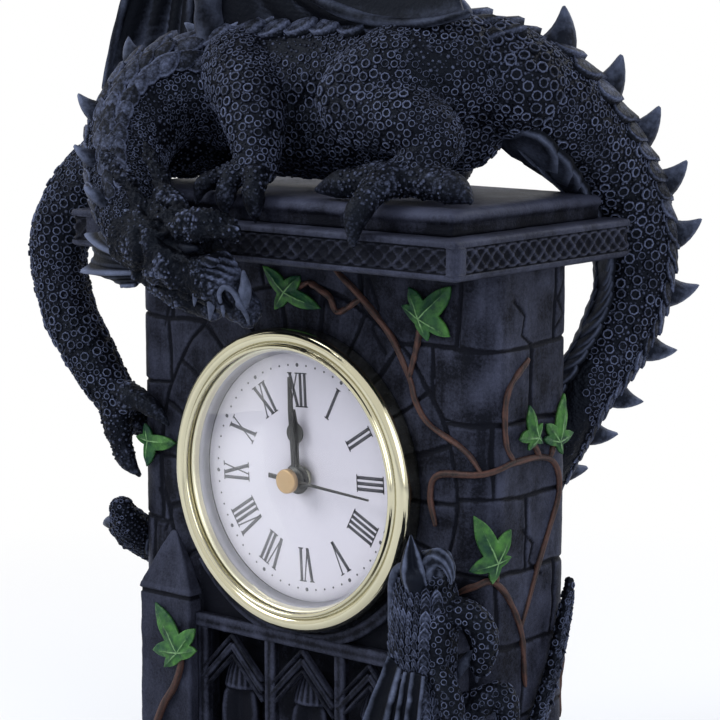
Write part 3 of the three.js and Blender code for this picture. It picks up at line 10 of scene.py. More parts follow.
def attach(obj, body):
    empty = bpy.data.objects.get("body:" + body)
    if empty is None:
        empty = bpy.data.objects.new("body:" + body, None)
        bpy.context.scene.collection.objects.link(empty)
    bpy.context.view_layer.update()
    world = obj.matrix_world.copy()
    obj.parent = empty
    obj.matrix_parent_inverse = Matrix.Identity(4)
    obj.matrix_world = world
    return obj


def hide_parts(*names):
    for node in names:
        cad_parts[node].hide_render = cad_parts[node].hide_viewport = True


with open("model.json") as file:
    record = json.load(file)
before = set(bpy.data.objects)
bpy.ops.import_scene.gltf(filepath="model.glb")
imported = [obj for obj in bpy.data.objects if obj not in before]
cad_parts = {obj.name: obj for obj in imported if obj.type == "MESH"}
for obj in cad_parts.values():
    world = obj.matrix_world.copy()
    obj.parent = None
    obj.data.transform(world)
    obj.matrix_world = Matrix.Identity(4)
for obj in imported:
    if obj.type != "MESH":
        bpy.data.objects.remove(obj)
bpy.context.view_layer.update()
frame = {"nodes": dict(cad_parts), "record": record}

bl_info = {
    "name": "Dragon clock dressing",
    "version": (1, 0, 0),
    "blender": (4, 5, 0),
    "location": "View3D > Sidebar > Clock",
    "description": "Dresses the dragon clock: scaled hide, worn stone, ivy, and the clock insert",
    "category": "Add Mesh",
}

MM = 0.001
DIAL_AXIS = [0, -17 * MM, 105 * MM]
TURN = 2 * math.pi


# What a user would change

def length(name, description, default):
    return bpy.props.FloatProperty(name=name, description=description, default=default, min=0, unit="LENGTH",
                                   precision=5)


def colour(name, description, default):
    return bpy.props.FloatVectorProperty(name=name, description=description, default=default, min=0, max=1,
                                         size=3, subtype="COLOR")


class ClockSizes(bpy.types.PropertyGroup):
    """Sizes of the dressing's detail"""
    stone_step: length("Stone grid", "Distance between the points of the tower's front skin", 0.46 * MM)
    joint_width: length("Joint width", "Half the width of a joint between two stones", 0.4 * MM)
    hide_voxel: length("Hide grid", "Size of the cells that the dragon's limbs are fused in", 0.72 * MM)
    tail_thorn: length("Tail thorns", "Height of a thorn where the tail is thickest", 7.6 * MM)
    body_thorn: length("Body thorns", "Height of a thorn on the neck and the back", 5.2 * MM)
    vine_radius: length("Vine radius", "Radius of a vine where it starts", 0.85 * MM)


class ClockColours(bpy.types.PropertyGroup):
    """Colours of the painted casting and the insert"""
    stone: colour("Rubbed stone", "Dry brushed colour on the stone's raised edges", (0.042, 0.047, 0.076))
    hide: colour("Rubbed hide", "Dry brushed colour on the scales' rims", (0.125, 0.15, 0.25))
    wing: colour("Rubbed wing", "Dry brushed colour on the folds of the wings", (0.1, 0.12, 0.19))
    leaf: colour("Leaf", "Bright green of the ivy leaves", (0.05, 0.16, 0.03))
    vine: colour("Vine", "Brown of the vines' ridges", (0.085, 0.04, 0.032))
    gilt: colour("Gilt", "Colour of the bezel's metal", (0.585, 0.555, 0.405))
    dial: colour("Dial", "Colour of the dial card", (0.635, 0.61, 0.7))


def sizes():
    return bpy.context.scene.clock_sizes


def colours():
    return bpy.context.scene.clock_colours


# Arrays of points and faces. Lengths are metres; the tables of stations give millimetres.

class Surface:
    """Points, faces of three or four corners, and two numbers a point that the finishes read: wear goes from
    0 in a pit to 1 on a rubbed edge, and in a few places is set low as painted shade; tone tells one scale,
    stone or leaf from the next."""

    def __init__(self, points, faces, wear_and_shade=0.5, tone=0.5):
        self.points = np.asarray(points, float).reshape(-1, 3)
        self.faces = [np.asarray(block, int) for block in faces]
        self.wear_and_shade = np.broadcast_to(np.asarray(wear_and_shade, float).ravel(), len(self.points)).copy()
        self.tone = np.broadcast_to(np.asarray(tone, float).ravel(), len(self.points)).copy()


def table(rows):
    """A table of millimetres as metres."""
    return np.array(rows, float) * MM


def tables(*lists):
    return [table(rows) for rows in lists]


def unit(vectors):
    return vectors / np.maximum(np.linalg.norm(vectors, axis=-1, keepdims=True), 1e-12)


def ramp(values, low, high):
    """0 below low, 1 above high, and 3t² − 2t³ between them."""
    t = np.clip((values - low) / (high - low), 0, 1)
    return t * t * (3 - 2 * t)


def bell(values, width, power=2):
    """1 at nought, falling to both sides: e to the minus (values / width) to the power."""
    return np.exp(-(values / width) ** power)


def apart(angle, other):
    """The difference of two angles, from nought to half a turn."""
    return np.abs((angle - other + math.pi) % TURN - math.pi)


def xyz(x, y, z):
    return np.stack(np.broadcast_arrays(x, y, z), -1)


def round_angles(count):
    """The angles of this many even steps round a circle."""
    return np.arange(count) * TURN / count


def quads(rows, columns, wrap=True):
    """Corner numbers of the faces of a grid; wrap joins its last column to its first."""
    i = np.arange(rows - 1)[:, None] * columns
    j = np.arange(columns if wrap else columns - 1)[None]
    k = (j + 1) % columns
    return np.stack([i + j, i + k, i + columns + k, i + columns + j], -1).reshape(-1, 4)


def fan(ring, tip):
    """Faces from each two neighbours in a closed ring of corner numbers to one tip."""
    return np.stack([ring, np.roll(ring, -1), np.full(len(ring), tip)], 1)


def joined(*surfaces):
    """One surface of several, their corner numbers moved on past those before them."""
    first, faces = 0, []
    for part in surfaces:
        faces += [block + first for block in part.faces]
        first += len(part.points)
    points, wear_and_shade, tone = (np.concatenate([getattr(part, name) for part in surfaces])
                          for name in ("points", "wear_and_shade", "tone"))
    return Surface(points, faces, wear_and_shade, tone)


def outward(surface):
    """The faces of a closed surface turned so that the volume they enclose is above zero."""
    volume = 0
    for block in surface.faces:
        corners = surface.points[block]
        for k in range(1, block.shape[1] - 1):
            volume += np.einsum("ij,ij->", corners[:, 0], np.cross(corners[:, k], corners[:, k + 1]))
    if volume < 0:
        surface.faces = [block[:, ::-1] for block in surface.faces]
    return surface


def lofted(rings, wear_and_shade=0.5, tone=0.5, poles=True):
    """The surface through closed rows of points: each row joins the next, and with poles each end row is
    drawn in to its middle."""
    rows, columns = rings.shape[:2]
    points, faces = rings.reshape(-1, 3), [quads(rows, columns)]
    wear_and_shade, tone = (np.broadcast_to(value, (rows, columns)).ravel() for value in (wear_and_shade, tone))
    if not poles:
        return Surface(points, faces, wear_and_shade, tone)
    row, end = np.arange(columns), rows * columns
    points = np.vstack([points, rings[0].mean(0), rings[-1].mean(0)])
    faces += [fan(row, end)[:, [1, 0, 2]], fan(end - columns + row, end + 1)]
    return outward(Surface(points, faces, *(np.append(value, value[[0, -1]]) for value in (wear_and_shade, tone))))


def circles(profile, count):
    """Rings of points round the z axis, one for each [radius, height] of a profile."""
    radius, height = np.array(profile, float).T[..., None]
    angle = round_angles(count)
    return xyz(radius * np.cos(angle), radius * np.sin(angle), height)


def capped(rings, top, wear_and_shade):
    """Rings that each join the next, the last closed to a point on top. Wear has a number for each ring and
    one for the top."""
    rows, count = rings.shape[:2]
    last = np.arange(count) + (rows - 1) * count
    return Surface(np.vstack([rings.reshape(-1, 3), [top]]), [quads(rows, count), fan(last, rows * count)],
                   np.append(np.repeat(wear_and_shade[:-1], count), wear_and_shade[-1]))


def read_off(at, places, rows):
    """Rows of numbers read off, straight between the places where they are given."""
    return np.stack([np.interp(at, places, column) for column in rows.T], 1)


def smooth_path(stations, step):
    """Points about a step apart on a smooth curve: between two stations every number follows a cubic whose
    slope at a station is half the way from the station before it to the one after."""
    s = np.asarray(stations, float)
    ends = np.vstack([2 * s[0] - s[1], s, 2 * s[-1] - s[-2]])
    t = np.linspace(0, len(s) - 1, 24 * len(s))
    i = np.minimum(t.astype(int), len(s) - 2)
    f = (t - i)[:, None]
    a, b, c, d = (ends[i + k] for k in range(4))
    curve = 0.5 * (2 * b + (c - a) * f + (2 * a - 5 * b + 4 * c - d) * f**2 + (3 * b - a - 3 * c + d) * f**3)
    travelled = np.append(0, np.cumsum(np.linalg.norm(np.diff(curve[:, :3], axis=0), axis=1)))
    even = np.linspace(0, travelled[-1], max(int(travelled[-1] / step), 3) + 1)
    return read_off(even, travelled, curve)


def directions(centre, start):
    """Along, out and side at each point of a path. Out starts as given and is carried on with the least
    twist, or, where start has a row for each point, is that row squared to the path."""
    along = unit(np.gradient(centre, axis=0))
    start = np.asarray(start, float)
    if start.ndim == 2:
        out = unit(start - (start * along).sum(1)[:, None] * along)
    else:
        out = np.empty_like(along)
        last = start if abs(unit(start) @ along[0]) < 0.95 else start[[1, 2, 0]] + 0.1
        for i, direction in enumerate(along):
            last = unit(last - direction * (last @ direction))
            out[i] = last
    return along, out, np.cross(along, out)


def round_ends(path, steps=4):
    """A path whose radius falls to nothing over a quarter circle at both ends."""
    angle = np.linspace(0.5 * math.pi, 0, steps, endpoint=False)[:, None]

    def beyond(tip, before):
        return np.hstack([tip[:3] + np.sin(angle) * unit(tip[:3] - before[:3]) * tip[3],
                          np.maximum(np.cos(angle), 0.02) * tip[3]])

    return np.vstack([beyond(path[0], path[1]), path[:, :4], beyond(path[-1], path[-2])[::-1]])


def tube(stations, step, around, shape=None, wear_and_shade=0.5):
    """A circle carried along the stations' curve. shape(t, angle) multiplies its radius, t going from 0 to
    1."""
    path = round_ends(smooth_path(stations, step))
    _, out, side = directions(path[:, :3], (0, 0, 1))
    angle = round_angles(around)[None]
    t = np.linspace(0, 1, len(path))[:, None]
    reach = path[:, 3:4] * (shape(t, angle) if shape else np.ones((1, around)))
    rings = path[:, None, :3] + reach[..., None] * (np.cos(angle)[..., None] * out[:, None]
                                                    + np.sin(angle)[..., None] * side[:, None])
    return lofted(rings, wear_and_shade(t, angle) if callable(wear_and_shade) else wear_and_shade)


def thick_sheet(points, thickness, wear_and_shade):
    """A closed sheet from a grid of points: the grid is moved half the thickness to each side along its
    normals, and the two layers are joined round the rim."""
    rows, columns = points.shape[:2]
    half = unit(np.cross(np.gradient(points, axis=0), np.gradient(points, axis=1))) * thickness / 2
    wear_and_shade = np.broadcast_to(wear_and_shade, (rows, columns))
    made = lofted(np.concatenate([points + half, (points - half)[:, ::-1]], axis=1),
                  np.concatenate([wear_and_shade, wear_and_shade[:, ::-1]], axis=1), poles=False)
    j = np.arange(columns - 1)
    other = 2 * columns - 1 - j
    start = np.stack([j + 1, j, other, other - 1], 1)
    made.faces += [start, (rows - 1) * 2 * columns + start[:, ::-1]]
    return outward(made)


# Noise, worked out from a point's place alone, so that it is the same on each run.

def hashed(cell, seed):
    """A number from 0 to 1 for each whole-number cell: the fraction of a large sine."""
    mixed = cell @ np.array([127.1, 311.7, 74.7])[:cell.shape[-1]] + 17.3 * seed
    return np.sin(mixed) * 43758.5453 % 1


def drift(p, size, seed=0):
    """Smooth noise from −1 to 1: each corner of a lattice of this size has a number, and they are blended."""
    q = np.asarray(p, float) / size
    low = np.floor(q)
    f = q - low
    f = f * f * (3 - 2 * f)
    total = 0
    for corner in np.ndindex(*[2] * q.shape[-1]):
        weight = np.prod(np.where(np.array(corner) == 1, f, 1 - f), axis=-1)
        total = total + weight * hashed(low + corner, seed)
    return 2 * total - 1


def layered(p, size, seed=0, layers=3):
    """Drift at a size, with half of it at half the size, and so on."""
    return sum(drift(p, size / 2**k, seed + k) / 2**k for k in range(layers))


def pebbled(p, size, seed=0):
    """Close-set lumps from 0 in the cracks to 1 on their tops: twice the difference of the distances, in
    cells, to the nearest and the second nearest of points strewn one to a lattice cell, held at 1."""
    q = np.asarray(p, float) / size
    low = np.floor(q)
    first, second = np.full(q.shape[:-1], 9.0), np.full(q.shape[:-1], 9.0)
    for step in np.ndindex(*[3] * q.shape[-1]):
        cell = low + np.array(step) - 1
        place = cell + 0.15 + 0.7 * np.stack([hashed(cell, seed + k) for k in range(q.shape[-1])], -1)
        away = np.linalg.norm(q - place, axis=-1)
        closer = away < first
        second = np.where(closer, first, np.minimum(second, away))
        first = np.where(closer, away, first)
    return np.clip(2 * (second - first), 0, 1)


# Finishes

class Wire:
    """A socket in a material's nodes. Arithmetic on it adds Math nodes, and node() adds any other node."""

    def __init__(self, tree, socket=None):
        self.tree, self.socket = tree, socket

    def feed(self, socket, value):
        """Gives a node's socket a link, or a value, in which a colour may leave out its fourth number."""
        if isinstance(value, Wire):
            self.tree.links.new(value.socket, socket)
        else:
            socket.default_value = (*value, 1) if socket.type == "RGBA" and len(value) == 3 else value

    def node(self, kind, settings=None, out=0, **sockets):
        """A node of this kind, its settings made first, then its sockets, by name or as n and a number."""
        made = self.tree.nodes.new("ShaderNode" + kind)
        for name, value in (settings or {}).items():
            setattr(made, name, value)
        for name, value in sockets.items():
            key = int(name[1:]) if name[0] == "n" and name[1:].isdigit() else name.replace("_", " ")
            self.feed(made.inputs[key], value)
        return Wire(self.tree, made.outputs[out])

    def show(self, kind="OUTPUT_MATERIAL"):
        """Links this shader to its tree's output, in place of what is linked there."""
        output = next(node for node in self.tree.nodes if node.type == kind)
        self.feed(output.inputs["Surface"], self)

    def math(self, operation, first, second):
        return self.node("Math", {"operation": operation}, n0=first, n1=second)

    def __add__(self, other): return self.math("ADD", self, other)
    def __radd__(self, other): return self.math("ADD", other, self)
    def __sub__(self, other): return self.math("SUBTRACT", self, other)
    def __rsub__(self, other): return self.math("SUBTRACT", other, self)
    def __mul__(self, other): return self.math("MULTIPLY", self, other)
    def __pow__(self, other): return self.math("POWER", self, other)

    def between(self, low, high):
        """0 at low, 1 at high, straight between them and held outside."""
        return self.node("MapRange", {"clamp": True}, Value=self, From_Min=low, From_Max=high)

    def mix(self, first, second):
        """The first colour where this is 0 and the second where it is 1."""
        return self.node("Mix", {"data_type": "RGBA"}, out=2, n0=self, n6=first, n7=second)


class Finish:
    """A material with one principled surface. Its places come from Object coordinates."""

    def __init__(self, name):
        self.material = bpy.data.materials.new(name)
        self.material.use_nodes = True
        tree = self.material.node_tree
        self.surface = tree.nodes["Principled BSDF"]
        self.wire = Wire(tree)
        self.place = self.wire.node("TexCoord", out="Object")

    def number(self, name):
        return self.wire.node("Attribute", {"attribute_name": name}, out="Fac")

    def stretched(self, x, y, z):
        return self.wire.node("Mapping", {"vector_type": "POINT"}, Vector=self.place, Scale=(x, y, z))

    def noise(self, scale, detail, place=None):
        vector = place or self.place
        return self.wire.node("TexNoise", Vector=vector, Scale=scale, Detail=detail, Roughness=0.55)

    def cells(self, scale):
        return self.wire.node("TexVoronoi", {"feature": "F1"}, Vector=self.place, Scale=scale)

    def lines(self, scale, direction, distortion):
        return self.wire.node("TexWave", {"bands_direction": direction}, Vector=self.place, Scale=scale,
                              Distortion=distortion, Detail=2.0)

    def bump(self, height, depth):
        """Bump whose full height stands for this depth in metres."""
        return self.wire.node("Bump", Height=height, Distance=depth)

    def set(self, **sockets):
        """Gives the principled surface's sockets links or values."""
        for name, value in sockets.items():
            self.wire.feed(self.surface.inputs[name.replace("_", " ")], value)
        return self

    def rubbed(self, rub, dark, pale, roughness, normal, gloss, tint=(0.55, 0.7, 1.0)):
        """Dark paint with a pale one rubbed over it, as far as rub goes from 0 to 1, under a bluish gloss."""
        return self.set(Base_Color=rub.mix(dark, pale), Roughness=roughness, Normal=normal,
                        Specular_IOR_Level=gloss, Specular_Tint=tint)


MADE = {}


def finish(name):
    """The material of a finish, made at its first use and shared by the pieces that have it."""
    if name not in MADE:
        MADE[name] = FINISHES[name](Finish(name)).material
    return MADE[name]


# Pieces

def meshed(name, surface):
    """An object in the scene with the surface's points and faces."""
    mesh = bpy.data.meshes.new(name)
    mesh.from_pydata(surface.points, [], [face for block in surface.faces for face in block.tolist()])
    made = bpy.data.objects.new(name, mesh)
    bpy.context.scene.collection.objects.link(made)
    return made


def piece(name, surface, slot, stands_for=(), body="tower_body", look=None):
    """Puts a surface into the scene as a named piece that rides a body and may stand for CAD nodes. It has
    the finish of its material slot unless another look is named."""
    made = meshed(name, surface)
    mesh = made.data
    for label in ("wear_and_shade", "tone"):
        values = getattr(surface, label).astype(np.float32)
        mesh.attributes.new(label, "FLOAT", "POINT").data.foreach_set("value", values)
    mesh.polygons.foreach_set("use_smooth", np.ones(len(mesh.polygons), bool))
    mesh.materials.append(finish(look or slot))
    mesh.update()
    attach(made, body)
    if stands_for:
        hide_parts(*stands_for)


def fused(surfaces, voxel, passes):
    """Closed surfaces that overlap made one skin by a voxel remesh, then smoothed so that their meetings are
    rounded. Gives its points, its faces and the direction outwards at each point."""
    holder = meshed("fused", joined(*surfaces))
    remesh = holder.modifiers.new("Skin", "REMESH")
    remesh.mode, remesh.voxel_size = "VOXEL", voxel
    smooth = holder.modifiers.new("Rounding", "SMOOTH")
    smooth.factor, smooth.iterations = 0.6, passes
    evaluated = holder.evaluated_get(bpy.context.evaluated_depsgraph_get())
    skin = evaluated.to_mesh()
    points, normals = np.empty((2, 3 * len(skin.vertices)), np.float32)
    skin.vertices.foreach_get("co", points)
    skin.vertices.foreach_get("normal", normals)
    corners = np.empty(len(skin.loops), np.int32)
    skin.loops.foreach_get("vertex_index", corners)
    evaluated.to_mesh_clear()
    mesh = holder.data
    bpy.data.objects.remove(holder)
    bpy.data.meshes.remove(mesh)
    return points.reshape(-1, 3).astype(float), corners.reshape(-1, 4), normals.reshape(-1, 3).astype(float)


def spread(points, sizes, order):
    """Goes through the points in this order and keeps each one that no kept one is near, which is when they
    are closer than their two sizes together. Gives the numbers of the kept ones."""
    tree = KDTree(len(points))
    for i, point in enumerate(points):
        tree.insert(point, i)
    tree.balance()
    free = np.ones(len(points), bool)
    kept, largest = [], sizes.max()
    for i in order:
        if free[i]:
            kept.append(i)
            near = tree.find_range(points[i], sizes[i] + largest)
            numbers = np.array([found[1] for found in near])
            gaps = np.array([found[2] for found in near])
            free[numbers[gaps < sizes[i] + sizes[numbers]]] = False
    return np.array(kept)


def copies(pattern, places, normals, forward, sizes, tone):
    """A small surface set at every place: its z axis goes along the normal and its x axis forward, squared to
    the normal. Sizes give one scale for each place, or three, for its length, its width and its height."""
    x = unit(forward - (forward * normals).sum(1)[:, None] * normals)
    y = np.cross(normals, x)
    sizes = np.broadcast_to(np.asarray(sizes, float).reshape(len(places), -1), (len(places), 3))
    p = pattern.points[None] * sizes[:, None]
    points = (places[:, None] + p[..., 0:1] * x[:, None] + p[..., 1:2] * y[:, None]
              + p[..., 2:3] * normals[:, None])
    shift = np.arange(len(places))[:, None, None] * len(pattern.points)
    faces = [(block[None] + shift).reshape(-1, block.shape[1]) for block in pattern.faces]
    return Surface(points, faces, np.tile(pattern.wear_and_shade, len(places)), np.repeat(tone, len(pattern.points)))


# What the finishes look like

def stone_finish(f):
    """Cast stone: near black in its pits and where its wear is set low as painted shade, slate where it is
    rubbed, with upright streaks and a fine grain.
    """
    wear_and_shade, tone = f.number("wear_and_shade"), f.number("tone")
    grain, speck = f.noise(1500, 4), f.noise(3600, 2)
    cloud = f.noise(75, 3, f.stretched(1, 1, 0.35))
    streak = f.noise(380, 4, f.stretched(1, 1, 0.1))
    rub = wear_and_shade * 0.92 + (grain - 0.5) * 0.85 + (speck - 0.5) * 0.55 + (streak - 0.5) * 0.75
    rub = (rub + (tone - 0.5) * 0.25).between(0.2, 1.15) * (0.42 + cloud * 0.98)
    return f.rubbed(rub, (0.0025, 0.0026, 0.0046), colours().stone, 0.62 - rub * 0.12,
                    f.bump(f.noise(700, 4) * 0.55 + speck * 0.45, 0.3 * MM), 0.1, (0.6, 0.72, 1.0))


def hide_finish(f):
    """Scaly hide: black between its scales and dry brushed slate blue on every raised rim."""
    wear_and_shade, tone = f.number("wear_and_shade"), f.number("tone")
    grit, grain = f.cells(1150), f.noise(2400, 3)
    rub = (wear_and_shade + (grain - 0.5) * 0.55 + (tone - 0.5) * 0.3 - grit * 0.35).between(0.32, 1.15) ** 1.35
    rub = rub * (0.3 + f.noise(70, 3) * 1.35)
    return f.rubbed(rub, (0.0012, 0.0013, 0.0026), colours().hide, 0.55 - rub * 0.12,
                    f.bump((1.0 - grit) * 0.6 + grain * 0.4, 0.32 * MM), 0.12)


def claw_finish(f):
    """Horn and claws: smooth, with pale streaks from wear."""
    streak = f.noise(600, 4)
    rub = (f.number("wear_and_shade") + (streak - 0.5) * 0.9).between(0.35, 1.15) ** 1.2
    return f.rubbed(rub, (0.0025, 0.003, 0.006), (0.1, 0.12, 0.19), 0.55 - rub * 0.1,
                    f.bump(streak * 0.6 + f.noise(2400, 2) * 0.4, 0.2 * MM), 0.12)


def wing_finish(f):
    """Wing skin: near black, slate along its folds, with a satin sheen."""
    rub = f.number("wear_and_shade") * 0.95 + (f.noise(120, 3) - 0.5) * 0.6 + (f.noise(1300, 3) - 0.5) * 0.3
    return f.rubbed(rub.between(0.36, 1.15) ** 1.4, (0.0012, 0.0013, 0.0025), colours().wing, 0.6,
                    f.bump(f.noise(900, 4), 0.2 * MM), 0.1)


def leaf_finish(f):
    """Ivy leaf: bright green in blotches and by its tone, bluer in patches, and pale where it is worn."""
    blotch = f.noise(420, 4) * 1.7 + f.number("tone") * 0.6 - 0.72
    green = blotch.between(0.05, 0.85).mix((0.003, 0.028, 0.012), colours().leaf)
    patch = (f.noise(170, 3) * 1.8 - 0.5).between(0.3, 0.75)
    green = patch.mix(green, green.mix((0.002, 0.03, 0.018), (0.02, 0.1, 0.03)))
    vein = (f.number("wear_and_shade") + (f.noise(1100, 4) - 0.5) * 0.9).between(0.6, 1.2)
    return f.set(Base_Color=vein.mix(green, (0.16, 0.3, 0.13)), Roughness=0.5,
                 Normal=f.bump(f.noise(1100, 3), 0.25 * MM), Specular_IOR_Level=0.2)


def vine_finish(f):
    """Vine bark: brown with reddish streaks along its ridges."""
    rub = (f.number("wear_and_shade") + (f.noise(900, 4) - 0.5) * 0.6).between(0.25, 1.0)
    return f.set(Base_Color=rub.mix((0.012, 0.009, 0.01), colours().vine), Roughness=0.55,
                 Normal=f.bump(f.noise(1800, 3), 0.2 * MM), Specular_IOR_Level=0.2)


def gilt_finish(f):
    """Pale gilt metal, polished, with a faint haze."""
    haze = f.noise(160, 3)
    return f.set(Base_Color=haze.mix((0.51, 0.48, 0.34), colours().gilt), Metallic=1.0,
                 Roughness=0.1 + haze * 0.06)


def glass_finish(f):
    """Thin clear glass: mostly seen through, with a gloss that grows to its edge."""
    clear = f.wire.node("BsdfTransparent", Color=(0.985, 0.99, 0.985))
    smear = f.bump(f.noise(35, 3), 0.02 * MM)
    gloss = f.wire.node("BsdfGlossy", Roughness=0.03, Color=(1, 1, 1), Normal=smear)
    edge = f.wire.node("Fresnel", IOR=1.45)
    f.wire.node("MixShader", n0=edge * 0.14, n1=clear, n2=gloss).show()
    return f


def reflector_finish(f):
    """A ring gilt towards the bezel and silvered towards the dial."""
    haze = f.noise(200, 2)
    silver = haze.mix((0.3, 0.3, 0.34), (0.5, 0.5, 0.56))
    return f.set(Base_Color=f.number("tone").between(0.3, 0.7).mix(silver, (0.78, 0.74, 0.58)), Metallic=0.7,
                 Roughness=0.3 + haze * 0.1)


def dial_finish(f):
    """Printed dial card: a pale lilac white with a trace of paper grain."""
    return f.set(Base_Color=f.noise(900, 3).mix((0.59, 0.565, 0.655), colours().dial), Roughness=0.55,
                 Normal=f.bump(f.noise(3000, 2), 0.02 * MM))


def ink_finish(f):
    return f.set(Base_Color=f.noise(3500, 2).mix((0.035, 0.035, 0.05), (0.06, 0.06, 0.08)), Roughness=0.5)


def felt_finish(f):
    fluff = f.noise(1800, 4)
    return f.set(Base_Color=fluff.mix((0.008, 0.008, 0.01), (0.035, 0.035, 0.04)), Roughness=0.95,
                 Sheen_Weight=0.5, Normal=f.bump(fluff, 0.3 * MM))


def plain(dark, pale, roughness, metallic=0.0, scale=300.0, depth=0.03, stretch=(1, 1, 1)):
    """A moulded or machined finish: two near colours mixed by a noise that also roughens and dents it."""
    def make(f):
        grain = f.noise(scale, 3, f.stretched(*stretch))
        return f.set(Base_Color=grain.mix(dark, pale), Metallic=metallic,
                     Roughness=roughness + (grain - 0.5) * 0.2,
                     Normal=f.bump(f.noise(scale * 4, 2), depth * MM))
    return make


def winding_finish(f):
    """Fine lacquered wire, wound side by side."""
    turns = f.lines(1200, "X", 0.4)
    return f.set(Base_Color=turns.mix((0.12, 0.035, 0.015), (0.62, 0.26, 0.12)), Metallic=0.8, Roughness=0.35,
                 Normal=f.bump(turns, 0.1 * MM))


def laminate_finish(f):
    """Circuit board: green lacquer over copper tracks that show as paler squares of lines."""
    tracks = f.wire.math("GREATER_THAN", f.lines(260, "X", 1.5) * f.lines(190, "Z", 1.0), 0.55)
    return f.set(Base_Color=tracks.mix((0.01, 0.08, 0.025), (0.035, 0.17, 0.06)), Roughness=0.3,
                 Normal=f.bump(tracks, 0.05 * MM))


FINISHES = {
    "dark_plastic": plain((0.012, 0.012, 0.014), (0.022, 0.022, 0.025), 0.5, scale=500),
    "black_rubber": plain((0.008, 0.008, 0.009), (0.018, 0.018, 0.019), 0.75, scale=700, depth=0.08),
    "pale_plastic": plain((0.62, 0.6, 0.52), (0.72, 0.7, 0.62), 0.42, scale=400),
    "black_hand": plain((0.006, 0.006, 0.008), (0.012, 0.012, 0.015), 0.4, scale=600),
    "copper_cap": plain((0.42, 0.27, 0.13), (0.52, 0.35, 0.19), 0.38, 0.6, 900),
    "brass_part": plain((0.55, 0.4, 0.14), (0.68, 0.52, 0.22), 0.3, 1.0, 400, stretch=(1, 8, 1)),
    "plated_steel": plain((0.42, 0.43, 0.45), (0.58, 0.59, 0.6), 0.28, 1.0, 400, stretch=(6, 1, 1)),
    "board_laminate": laminate_finish,
    "copper_wire": winding_finish,
    "clear_glass": glass_finish,
    "reflector_metal": reflector_finish,
    "gilt_metal": gilt_finish,
    "dial_paint": dial_finish,
    "felt": felt_finish,
    "stone_casting": stone_finish,
    "dragon_casting": hide_finish,
    "wing_casting": wing_finish,
    "vine_paint": vine_finish,
    "leaf_paint": leaf_finish,
    "claw": claw_finish,
    "wing": wing_finish,
    "ink": ink_finish,
}


# The dragon's limbs, through stations [x, y, z, radius] in millimetres

SPINE = table([[46, 8, 200, 12.5], [28, 4, 201.5, 15.5], [6, 1, 201.5, 15.5], [-14, -1, 200.5, 15.5],
               [-34, -4, 197.5, 15.5], [-50, -6, 190, 12]])
BELLY = table([[30, 4, 191.5, 13], [12, 1, 190.5, 14.5], [-12, -1, 190, 14.5], [-34, -3, 189.5, 13],
               [-47, -9, 184.5, 10.5]])
NECK = table([[-36, -5, 198, 14], [-43, -14, 196.5, 13.5], [-45, -23, 191.5, 12.5], [-42.5, -31.5, 184.5, 11],
              [-36.5, -39, 176.5, 9.5], [-29, -44.5, 168.5, 8.6]])
SKULL = table([[-25, -46.5, 164.8, 8.6], [-13.5, -47.5, 162.2, 9.4], [-3.5, -46.5, 156.8, 6.4],
               [3.8, -44.8, 151.8, 5], [6.6, -43.8, 149.6, 4]])
JAW = table([[-20, -47, 156.5, 4.2], [-10, -47.5, 152, 3.4], [-2, -46, 148.4, 2.4]])
RIGHT_ARM = table([[-52, -7, 188, 11.5], [-65, -12, 178.5, 10.5], [-73.5, -16, 171, 9.5],
                   [-79, -19, 162, 8.6], [-79.8, -20.5, 152, 7.6], [-75, -21, 138, 7.2], [-66, -21, 126, 6.6],
                   [-59.5, -20.5, 118.5, 5.4]])
LEFT_ARM = table([[-24, -10, 202, 12], [-15, -18, 196, 9.5], [-8.5, -23.5, 187, 6.6],
                  [-5.5, -26.5, 180.5, 5.2]])
LEFT_LEG = table([[34, -2, 204, 14], [25, -11, 201.5, 13.6], [18.5, -18, 196.5, 10.5], [26, -19, 193.5, 9],
                  [35, -18.5, 192.5, 8.6], [40.5, -17.5, 188.5, 7.6], [38.5, -20.5, 183, 6],
                  [37, -23, 180.6, 5]])
RIGHT_LEG = table([[36, 12, 202, 12], [26, 19, 199, 11], [17, 21, 194, 9], [16, 21, 190, 7.6],
                   [17, 21.5, 184, 6], [16.5, 21.5, 179.6, 4.6]])
CLAWS = tables(
    [[-60, -20.5, 119, 4.6], [-52, -21.3, 119.5, 3.2], [-46, -20.5, 117, 2.4], [-43, -19, 113.5, 0.9]],
    [[-60, -20.5, 116, 4.6], [-58.6, -20.5, 108, 3.2], [-56.6, -20, 102.5, 2.4], [-52.6, -19.4, 99, 0.8]],
    [[-61, -17, 117, 4.4], [-60.6, -10, 110, 3.1], [-59.6, -4, 106, 2.2], [-58.2, 0, 103, 0.8]],
    [[-5, -27, 180.5, 3.6], [-2, -31, 178.2, 3], [-0.8, -32.8, 173, 2.6], [-0.6, -32.6, 168.6, 0.9]],
    [[-7, -26, 180.5, 3.4], [-9.5, -31, 178.2, 2.8], [-10, -32.8, 173, 2.4], [-9.8, -32.6, 169.6, 0.9]],
    [[-8, -24.5, 180, 3.4], [-15.5, -27, 178, 2.7], [-18.5, -31.5, 176, 2.2], [-19.4, -32.6, 171.5, 0.8]],
    [[36, -24, 180.2, 4.4], [27, -26, 179, 3.6], [19.5, -26.5, 177.8, 3.2], [14, -27, 176.4, 1.2]],
    [[37, -25, 180, 4.4], [35.5, -31, 178.6, 3.6], [33.8, -36.6, 172.6, 3.1], [33, -37.4, 165.8, 1.2]],
    [[38, -23, 180, 4.4], [46, -23.5, 179.4, 3.9], [52, -23.5, 178, 3.4], [56, -24, 176, 1.2]],
    [[16.5, 21.5, 179.4, 3.8], [10, 22, 178, 3.2], [5, 22, 176.2, 1.2]],
    [[17, 21, 179.4, 3.6], [20, 19, 178.4, 3], [22.4, 16.5, 176.2, 1.2]])
